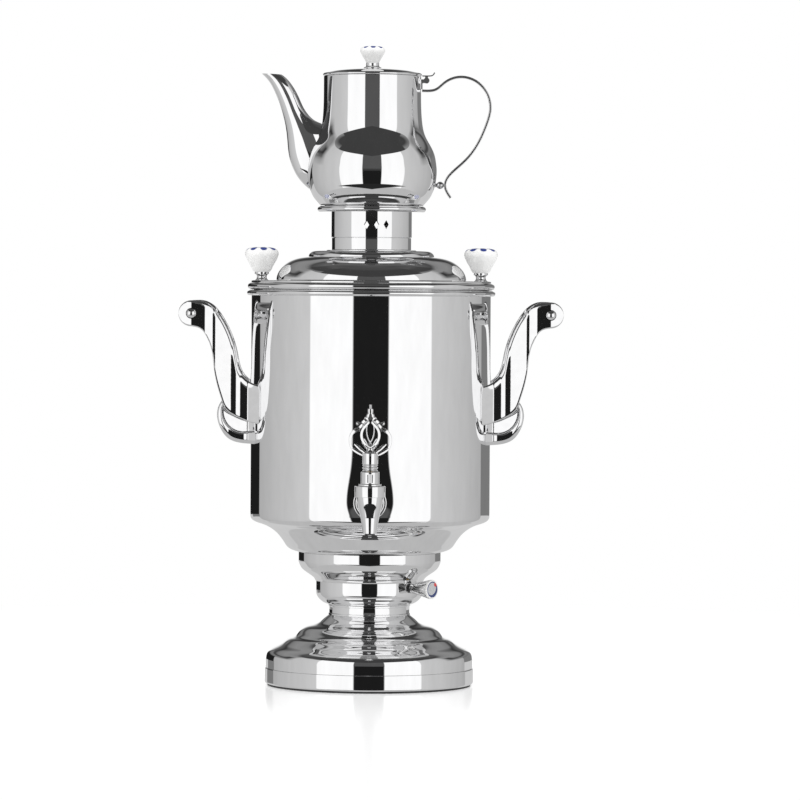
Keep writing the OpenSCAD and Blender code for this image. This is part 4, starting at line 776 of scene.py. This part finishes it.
kz = levels["potKnob"]
outline = np.vstack([[(2.1, kz), (10.2, kz)], corner(9.7, kz + 0.5, 0.5, 0, 80, 4),
        smoothCurve([(9.2, kz + 1.2), (8.0, kz + 1.8), (7.6, kz + 3.0), (7.6, kz + 5.6)], 16),
        [(7.3, kz + 6), (2.1, kz + 6)]])
addPiece("teapotFerrule", latheMesh(outline, segments=144), "teapot_ferrule", "teapot_cover")
addPiece("teapotKnob", knobMesh(0, kz + 6, 14.4, 19.55, 3), "teapot_knob", "teapot_cover",
    material=porcelain)
print("crown and teapot made")

# Side handles
armShares = [(-0.3, 0.44), (-0.015, 0.475), (0.138, 0.537), (0.241, 0.689), (0.36, 0.857), (0.497, 0.972),
    (0.65, 1.056), (0.82, 1.096), (1, 1.0993)]
underShares = [(-0.3, 0.15), (-0.03, 0.166), (0.207, 0.207), (0.429, 0.284), (0.463, 0.322), (0.557, 0.459),
    (0.616, 0.605), (0.65, 0.719), (0.735, 0.819), (0.838, 0.88), (1, 0.9007)]
scrollShares = [(-0.3, 0), (-0.033, 0.001), (0.156, 0.008), (0.354, 0.039), (0.501, 0.123), (0.557, 0.23),
    (0.53, 0.29), (0.43, 0.36)]
scrollInShares = [(-0.3, 0.1), (-0.033, 0.1), (0.173, 0.1), (0.335, 0.138), (0.429, 0.207), (0.44, 0.27),
    (0.39, 0.33)]
webShares = [(-0.3, 0.05), (-0.033, 0.05), (0.16, 0.055), (0.33, 0.085), (0.45, 0.15), (0.49, 0.22)]
gripX, gripZ, endR = 206.2, levels["grip"], 14.9
# Slopes of the bracket by distance from the axis, in degrees: the face has gentle flutes with upright
# generators, the bead along the scroll and the cove above it have none
fluteSlopes = [(222, -12), (207, -12), (204.5, 2), (191.5, 4), (190, 12), (181.6, 12), (180.9, -3),
    (179.6, -3), (179, 10), (160, 10), (158.8, 0), (155.4, 0), (154.6, 12), (149.9, 12), (149.3, 4),
    (141.6, 4), (140.9, -33), (120, -33)]
beadSlopes = [(190, 12), (164, 12), (161, 2), (147, 2), (145, 12), (141.6, 12), (140.9, -33), (120, -33)]
coveSlopes = [(190, 12), (141.6, 12), (140.9, -33), (120, -33)]


def sidePoints(shares):
    s = np.asarray(shares, float)
    return np.column_stack([radii["body"] + s[:, 0] * (gripX - radii["body"]), gripZ - 150 + s[:, 1] * 150])


# Depth by distance from the axis: the running sum of tan(slope) inwards, with its highest point outside the
# foot at a given depth
def depthFrom(slopes, highest):
    x = np.linspace(224, 118, 1061)
    stops = np.array(sorted(slopes))
    slope = np.tan(np.radians(np.interp(x, stops[:, 0], stops[:, 1])))
    depth = -np.concatenate([[0], np.cumsum((slope[1:] + slope[:-1]) / 2 * 0.1)])
    depth += highest - depth[x > 142].max()
    return lambda at: np.interp(at, x[::-1], depth[::-1])


# A plate between two edge curves: across runs from the upper to the lower edge, and the section goes round
# the front face, the rolled edges and the back. The front follows depthOf, less a roll along the upper and
# the lower edge, as wide as wide says and as deep as deep says: a facet that ends in a quarter ellipse.
def plateGrid(upper, lower, thick, depthOf, wide, deep, across=30):
    v = np.linspace(0, 1, across)
    v = (1 - np.cos(v * np.pi)) / 2
    p = upper[:, None] + (lower - upper)[:, None] * v[None, :, None]
    width = np.linalg.norm(lower - upper, axis=1)[:, None]
    fall = 0
    for near, edge, drop in zip((v, 1 - v), wide, deep):
        left = np.clip(1 - near[None, :] * width / np.broadcast_to(edge, len(upper))[:, None], 0, 1)
        fall = fall + drop * (0.45 * left + 0.55 * (1 - np.sqrt(1 - left ** 2)))
    y = depthOf(p[..., 0])
    front = np.stack([p[..., 0], y - fall, p[..., 1]], axis=2)
    back = np.stack([p[..., 0], y - thick + fall * 0.6, p[..., 1]], axis=2)
    loop = np.concatenate([front, back[:, ::-1]], axis=1)
    centre = loop.mean(axis=1, keepdims=True)
    return np.concatenate([np.repeat(centre[:1], loop.shape[1], 1), loop,
            np.repeat(centre[-1:], loop.shape[1], 1)])


def bracketMesh():
    upper = smoothCurve(sidePoints(armShares), 220)
    lower = smoothCurve(sidePoints(underShares), 220)
    a = np.radians(np.linspace(0, 90, 40))[1:]
    upper = np.vstack([upper, np.column_stack([gripX + endR * np.sin(a), gripZ + endR * np.cos(a)])])
    lower = np.vstack([lower, np.column_stack([gripX + endR * np.sin(a), gripZ - endR * np.cos(a)])])
    rolled = np.interp(upper[:, 0], [140, 155, 185, 200, 210], [8.0, 7.0, 5.5, 2.5, 1.4])
    arm = meshFromGrid(plateGrid(upper, lower, 7.6, depthFrom(fluteSlopes, 53.9), (rolled, 1.6), (3.0, 1.4)),
        wrapRows=False, sharp=40)
    outer = smoothCurve(sidePoints(scrollShares), 120)
    inner = smoothCurve(sidePoints(scrollInShares), 120)
    bead = plateGrid(inner, outer, 11.0, depthFrom(beadSlopes, 51.5), (3.4, 4.6), (3.0, 4.2))
    scroll = meshFromGrid(bead, wrapRows=False, sharp=40)
    webLow = smoothCurve(sidePoints(webShares), 80)
    webHigh = smoothCurve(sidePoints([(-0.3, 0.26), (0.0, 0.27), (0.2, 0.29), (0.36, 0.34)]), 80)
    web = meshFromGrid(plateGrid(webHigh, webLow, 4, depthFrom(coveSlopes, 46.0), (0.5, 0.5), (0.5, 0.5)),
        wrapRows=False, sharp=40)
    barrel = latheMesh(barOutline(138.9, 250, 460), segments=480)
    holes = [rod((gripX, 40, gripZ), (0, 1, 0), 20, 3.1), rod((gripX, 51.6, gripZ), (0, 1, 0), 4, 6.2)]
    parts = [cutMesh(part, [barrel], sharp=40) for part in (arm, scroll, web)]
    parts[0] = cutMesh(cutMesh(parts[0], holes[:1], sharp=40), holes[1:], sharp=40)
    return parts


def mirrored(mesh, sx, sy):
    copy = mesh.copy()
    copy.transform(Matrix(((sx, 0, 0, 0), (0, sy, 0, 0), (0, 0, 1, 0), (0, 0, 0, 1))))
    if sx * sy < 0:
        copy.flip_normals()
    return copy


# A copy of a mesh with its own axes laid along x, y and z directions and moved to a place
def laid(mesh, x, y, z, place):
    copy = mesh.copy()
    copy.transform(Matrix([[x[i], y[i], z[i], place[i] / 1000] for i in range(3)] + [[0, 0, 0, 1]]))
    return copy


def moved(mesh, place):
    return laid(mesh, (1, 0, 0), (0, 1, 0), (0, 0, 1), place)


bracketParts = bracketMesh()
# Grip tube with softly rolled ends, and the domed nuts on both ends of its bolt
grip = {"bore": 3.1, "radius": 12.5, "end": 45.9, "roll": 0.8, "flat": 44.6}
gripR, gripEnd, roll = grip["radius"], grip["end"], grip["roll"]
gripOutline = np.vstack([
    [(grip["bore"], -gripEnd)], corner(gripR - roll, roll - gripEnd, roll, -90, 0, 6),
    straightCurve([(gripR, -grip["flat"]), (gripR, grip["flat"])], 8)[1:-1],
    corner(gripR - roll, gripEnd - roll, roll, 0, 90, 6), [(grip["bore"], gripEnd)]])


def layDown(mesh, x, z):
    return laid(mesh, (1, 0, 0), (0, 0, -1), (0, 1, 0), (x, 0, z))


gripMesh = latheMesh(gripOutline, segments=144)
nut = np.vstack([[(0, 52.0)], corner(4.6, 52.7, 0.7, -90, 0, 4), arcCurve((0, 54.2), 5.3, 3.5, 0, 90, 20)])
nutMesh = latheMesh(nut, segments=96)
boltMesh = latheMesh(barOutline(3, -52.5, 52.5), segments=48)
for side, sx in (("left", -1), ("right", 1)):
    for end, sy in (("front", -1), ("rear", 1)):
        parts = [mirrored(part, sx, sy) for part in bracketParts]
        addPiece(side + end.capitalize() + "Bracket", joinMeshes(parts, sharp=40),
            side + "_" + end + "_bracket", material=smallMirror)
    addPiece(side + "Grip", layDown(gripMesh, sx * gripX, gripZ), side + "_grip")
fittings = []
for sx in (-1, 1):
    endNut = layDown(nutMesh, sx * gripX, gripZ)
    fittings += [endNut, mirrored(endNut, 1, -1), layDown(boltMesh, sx * gripX, gripZ)]
addPiece("gripBolts", joinMeshes(fittings), "grip_bolts", material=smallMirror)
# The screws that hold the brackets: domed heads inside the kettle, their ends hidden in the brackets' feet
head = np.vstack([[(0, -1.9), (2, -1.9), (2, 0), (3.9, 0)], arcCurve((0, 0), 3.9, 2, 8, 90, 12)])
headMesh = latheMesh(head, segments=48)
screws = []
for sx in (-1, 1):
    for sy in (-1, 1):
        for z in wallHoles["screwHeights"]:
            a = math.radians(wallHoles["screwAzimuth"])
            out = (sx * math.cos(a), sy * math.sin(a), 0)
            side = (-out[1], out[0], 0)
            reach = radii["body"] - sheet
            screws.append(laid(headMesh, side, (0, 0, -1), (-out[0], -out[1], 0),
                    (out[0] * reach, out[1] * reach, z)))
addPiece("bracketScrews", joinMeshes(screws), "bracket_screws", material=smallMirror)
print("side handles made")

# Tap, drawn round its own upright axis and then moved out to it
tap = {"y": -228.5, "bore": 5.0, "plug": 10.0, "pipe": 9.5, "cup": 17.0, "nozzle": -29.5, "shoulder": 10.7,
    "top": 23.1, "floor": -11.5, "stem": 4.06}
tapZ = levels["tap"]


def atTap(mesh):
    return moved(mesh, (0, tap["y"], tapZ))


def outwards(mesh, z=tapZ):
    return laid(mesh, (1, 0, 0), (0, 0, 1), (0, -1, 0), (0, 0, z))


nozzleShares = [(0.465, 0), (0.52, 0.2), (0.608, 0.435)]
cupShares = [(0.608, 0.435), (0.727, 0.634), (0.832, 0.828), (0.86, 0.9), (0.87, 1)]
cupSize = (0, tap["cup"], tap["nozzle"], tap["shoulder"])
form = np.vstack([smoothCurve(between(nozzleShares, *cupSize), 30)[:-1],
        smoothCurve(between(cupShares, *cupSize), 50)])
outline = np.vstack([[(tap["bore"], tap["nozzle"])], form, corner(16.6, 11.1, 0.4, -90, 0, 4),
        corner(16.2, 22.3, 0.8, 0, 90, 8), [(tap["plug"], tap["top"]), (tap["plug"], tap["floor"]),
        (tap["bore"], tap["floor"])]])
housing = cutMesh(latheMesh(outline, segments=192, sharp=3), [rod((0, 4, 0), (0, 1, 0), 16, tap["bore"])])
pipe = latheMesh(barOutline(tap["pipe"], 126.4, 212.5, tap["bore"]), segments=96)
addPiece("tapBody", joinMeshes([atTap(housing), outwards(pipe)]), "tap_body", material=smallMirror)

outline = np.vstack([[(9.55, 134.5), (18.8, 134.5)], corner(17.6, 140.8, 1.2, 0, 90, 8),
        corner(16.3, 142.4, 0.4, -90, -180, 4), corner(14.9, 143.0, 1.0, 0, 90, 8), [(9.55, 144.0)]])
barrel = latheMesh(barOutline(137.2, 180, 260), segments=480)
rosette = cutMesh(outwards(latheMesh(outline, segments=160)), [barrel])
addPiece("tapRosette", rosette, "tap_rosette")

outline = np.vstack([[(tap["stem"], 20.4), (9.9, 20.4), (9.9, tap["top"])],
        corner(12.0, 23.6, 0.5, -90, 0, 4), corner(12.0, 24.8, 0.5, 0, 90, 4),
        corner(10.8, 25.8, 0.5, -90, -180, 4), corner(9.3, 37.9, 1.0, 0, 90, 8), [(tap["stem"], 38.9)]])
# A flute down its front with a rib in it, where the key's stop runs
bonnet = cutMesh(latheMesh(outline, segments=144), [rod((0, -11.6, 27.0), (0, 0, 1), 9.0, 3.5, 48)])
rib = latheMesh(barOutline(1.9, 26.5, 36.6), 0, -8.9, 48)
addPiece("tapBonnet", atTap(joinMeshes([bonnet, rib])), "tap_bonnet", material=smallMirror)

# Key: a grooved collar, then an openwork plate of bars whose half widths swell along the way. A bar's
# section has a low ridge along its front and back.
keyZ = 39.2
ridge = np.array([(1, 0), (0.87, 0.84), (0.7, 1), (-0.7, 1), (-0.87, 0.84), (-1, 0), (-0.87, -0.84),
        (-0.7, -1), (0.7, -1), (0.87, -0.84)])


# An upright path that leans back with its distance from the middle
def keyPath(points, count, lean):
    p = smoothCurve(points, count)
    return np.column_stack([p[:, 0], lean * (abs(p[:, 0]) - 8), p[:, 1]])


def swell(ends, middle, count):
    t = np.linspace(0, 1, count)
    return ends + (middle - ends) * np.sin(np.pi * t) ** 0.7


def keyBar(points, ends, middle, thick, count=90, lean=0.0):
    grid = carryGrid(keyPath(points, count, lean), ridge, thick, swell(ends, middle, count))
    return meshFromGrid(grid, wrapRows=False, sharp=24)


grooves = np.vstack([[(4.05, keyZ), (7.6, keyZ)], arcCurve((7.5, keyZ + 0.9), 1.1, 0.9, -70, 90, 8),
        corner(7.5, keyZ + 2.2, 0.4, -90, -270, 5), arcCurve((7.4, keyZ + 3.9), 1.3, 1.2, -90, 90, 10),
        corner(7.5, keyZ + 5.5, 0.4, -90, -270, 5), arcCurve((7.5, keyZ + 6.7), 1.1, 0.8, -90, 90, 8),
        arcCurve((7.9, keyZ + 8.5), 0.8, 0.6, -90, 0, 5), corner(7.9, keyZ + 19.6, 0.8, 0, 90, 6),
        smoothCurve([(7.1, keyZ + 20.4), (5.6, keyZ + 20.9), (4.4, keyZ + 22.6), (3.6, keyZ + 25.2)], 16),
        [(0, keyZ + 25.6), (0, keyZ + 11), (4.05, keyZ + 11)]])
keyParts = [meshFromGrid(latheGrid(grooves, segments=144))]
# Each bar's points, its half widths at the ends and in the middle, its half depth, steps and lean
keyBars = [
    ([(20.4, 64.8), (22.0, 69.4), (22.3, 74.6), (21.2, 79.4), (18.4, 83.4), (14.6, 86.2), (11.2, 88.4),
      (9.4, 91.6)], 1.2, 1.6, 2.3),
    ([(7.2, 56.8), (14.0, 60.6), (21.4, 65.2)], 0.9, 1.9, 2.4, 40, 0.2),
    ([(5.2, 59.2), (11.0, 64.2), (17.4, 69.4)], 0.6, 2.0, 2.4, 40, 0.2),
    ([(0.9, 65.2), (5.2, 68.6), (9.0, 74.6), (9.8, 80.6), (8.2, 86.0), (4.6, 90.4), (1.2, 94.2)],
     1.0, 1.4, 2.3),
    ([(9.4, 83.8), (13.6, 84.8), (18.8, 81.4)], 0.8, 1.3, 2.0, 40, 0.2),
    ([(1.6, 97.4), (6.2, 95.6), (9.6, 92.6), (13.4, 91.6)], 1.5, 1.5, 2.3, 40)]
for s in (-1, 1):
    keyParts += [keyBar([(s * x, z) for x, z in points], *sizes) for points, *sizes in keyBars]
    knob = corner(0, 0, 2.0, -90, 90, 20)
    knob[[0, -1], 0] = 0
    keyParts.append(moved(latheMesh(knob, segments=32), (s * 13.9, 0, 92.3)))
stem = np.column_stack([np.zeros(20), np.zeros(20), np.linspace(58.5, 66.4, 20)])
keyParts.append(meshFromGrid(carryGrid(stem, ridge[:, ::-1], np.linspace(2.6, 1.6, 20), 2.2, axis=(1, 0, 0)),
        wrapRows=False, sharp=24))
crownStops = np.array([(93.4, 2.4), (95.4, 4.6), (97.2, 6.4), (98.8, 6.5), (99.8, 4.6), (101.4, 4.3),
        (102.8, 3.6), (103.6, 2.4), (104.4, 3.0), (108.1, 3.0), (108.5, 2.6)])
crownZ = np.linspace(93.4, 108.5, 90)
crownWide = np.convolve(np.pad(np.interp(crownZ, *crownStops.T), 2, mode="edge"), np.ones(5) / 5,
    mode="valid")
path = np.column_stack([np.zeros(90), np.zeros(90), crownZ])
thick = np.interp(crownZ, [93, 96, 103, 106.5, 108.5], [2.2, 2.9, 2.5, 2.5, 2.1])
keyParts.append(meshFromGrid(carryGrid(path, softSection(2.4, 40), crownWide, thick, axis=(1, 0, 0)),
        wrapRows=False, sharp=45))
addPiece("tapKey", atTap(joinMeshes(keyParts, sharp=22)), "tap_key", "tap_handle", material=smallMirror)
print("tap made")

# Thermostat knob: a cone on its shaft, with a face of coloured rings
dialStart = 64.7


def atDial(mesh):
    return laid(mesh, (math.cos(dialTurn), math.sin(dialTurn), 0), (0, 0, 1), dialWay,
        (0, 0, levels["dial"]))


outline = np.vstack([[(3.05, dialStart), (5.0, dialStart)], corner(5.4, dialStart + 0.6, 0.6, -90, 0, 5),
        smoothCurve([(6.0, dialStart + 3), (7.6, dialStart + 11), (9.6, dialStart + 20),
        (10.6, dialStart + 24.4)], 24), corner(10.4, dialStart + 26.5, 0.5, 0, 90, 5),
        [(3.05, dialStart + 27)]])
addPiece("thermostatKnob", atDial(latheMesh(outline, segments=160)), "thermostat_knob", "dial",
    material=satin)

faceStart = dialStart + 27.05
outline = np.vstack([[(0, faceStart), (10.7, faceStart)],
        arcCurve((10.3, faceStart + 1.5), 0.6, 0.8, 0, 90, 8),
        straightCurve([(10.2, faceStart + 2.3), (0, faceStart + 2.3)], 60)])
capMesh = latheMesh(outline, segments=288)
dialFace = {"rim": (0.86, 0.86, 0.85), "face": (0.5, 0.51, 0.52), "ring": (0.02, 0.04, 0.16),
    "mark": (0.62, 0.03, 0.03), "rimFrom": 9.1, "ringFrom": 7.9, "ringMore": 2.3, "lowSide": 50,
    "markFrom": 5.6, "markTurn": (28, 62)}


# Colour of the face by distance from its centre and angle: rim, a ring that is wider low on one side, a mark
def dialColours(mesh, face):
    co = vertexPlaces(mesh)
    r, a = np.hypot(co[:, 0], co[:, 1]), np.degrees(np.arctan2(co[:, 1], co[:, 0]))
    inner = face["ringFrom"] - face["ringMore"] * np.clip(np.cos(np.radians(a + face["lowSide"])), 0, 1)
    inRim, (first, last) = r > face["rimFrom"], face["markTurn"]
    out = np.tile((*face["face"], 1.0), (len(co), 1))
    out[inRim, :3] = face["rim"]
    out[(r > inner) & ~inRim, :3] = face["ring"]
    out[(r > face["markFrom"]) & ~inRim & (a > first) & (a < last), :3] = face["mark"]
    layer = mesh.attributes.new("faceColour", "FLOAT_COLOR", "POINT")
    layer.data.foreach_set("color", out.ravel().astype(np.float32))


dialColours(capMesh, dialFace)
dialPaint = coating("dialPaint", (0.6, 0.6, 0.6), 0.3, grain=0.05, coat=0.3)
n = Nodes(dialPaint.node_tree)
face = n.add("Attribute", attribute_name="faceColour").outputs["Color"]
n.fill(dialPaint.node_tree.nodes["Principled BSDF"], {"Base Color": face})
addPiece("dialCap", atDial(capMesh), "dial_cap", "dial", material=dialPaint)
print("thermostat knob made")

# The rest of the model keeps its shape and gets its material
bySlot = {"polished_steel": smallMirror, "plain_steel": brushed, "brass": brass, "rubber": rubber,
    "black_plastic": blackPlastic, "pale_plastic": palePlastic, "insulator": insulator, "copper": copper,
    "wire_cover": wireCover, "porcelain": porcelain, "base_grey": baseGrey}
for part in frame["record"]["subparts"]:
    if part["node"] not in dressed:
        for place in nodes[part["node"]].material_slots:
            place.material = bySlot[part["material_slot"]]

# Floor and light
wide, near = 9000.0, -4600.0
floorMesh = meshFromGrid(np.array([[(-wide, near, 0), (wide, near, 0)],
        [(-wide, wide, 0), (wide, wide, 0)]]), wrapRows=False, wrapColumns=False)
floor = bpy.data.objects.new("floor", floorMesh)
bpy.context.collection.objects.link(floor)
floorPaint, n, shader, place = newMaterial("floorPaint")
speck = n.add("TexNoise", {"Vector": place, "Scale": 3.0}).outputs[0]
n.fill(shader, {"Base Color": n.ramp(speck, [(0.3, 0.88), (0.7, 0.9)]), "Roughness": 0.2,
        "Emission Color": (1, 1, 1, 1), "Emission Strength": 0.26, "Specular IOR Level": 0.5})
away = n.add("VectorMath", {0: place}, operation="LENGTH").outputs["Value"]
faded = n.add("MixShader", {0: n.step(away, 0.5, 1.3), 1: shader.outputs[0], 2: n.glow("Emission", 1.0)})
n.fill(floorPaint.node_tree.nodes["Material Output"], {"Surface": faded.outputs[0]})
floorMesh.materials.append(floorPaint)
floor.visible_glossy = False

lamp = {"place": (0.0, -0.3, 3.0), "size": 3.0, "power": 40, "aim": 0.3}
data = bpy.data.lights.new("topLamp", "AREA")
data.shape, data.size, data.energy = "DISK", lamp["size"], lamp["power"]
light = bpy.data.objects.new("topLamp", data)
light.location = lamp["place"]
light.rotation_euler = (math.atan2(-lamp["place"][1], lamp["place"][2] - lamp["aim"]), 0, 0)
light.visible_glossy = False
light.visible_camera = False
bpy.context.collection.objects.link(light)

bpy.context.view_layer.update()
scene = bpy.context.scene
scene.view_settings.view_transform = "Standard"
print("scene ready")
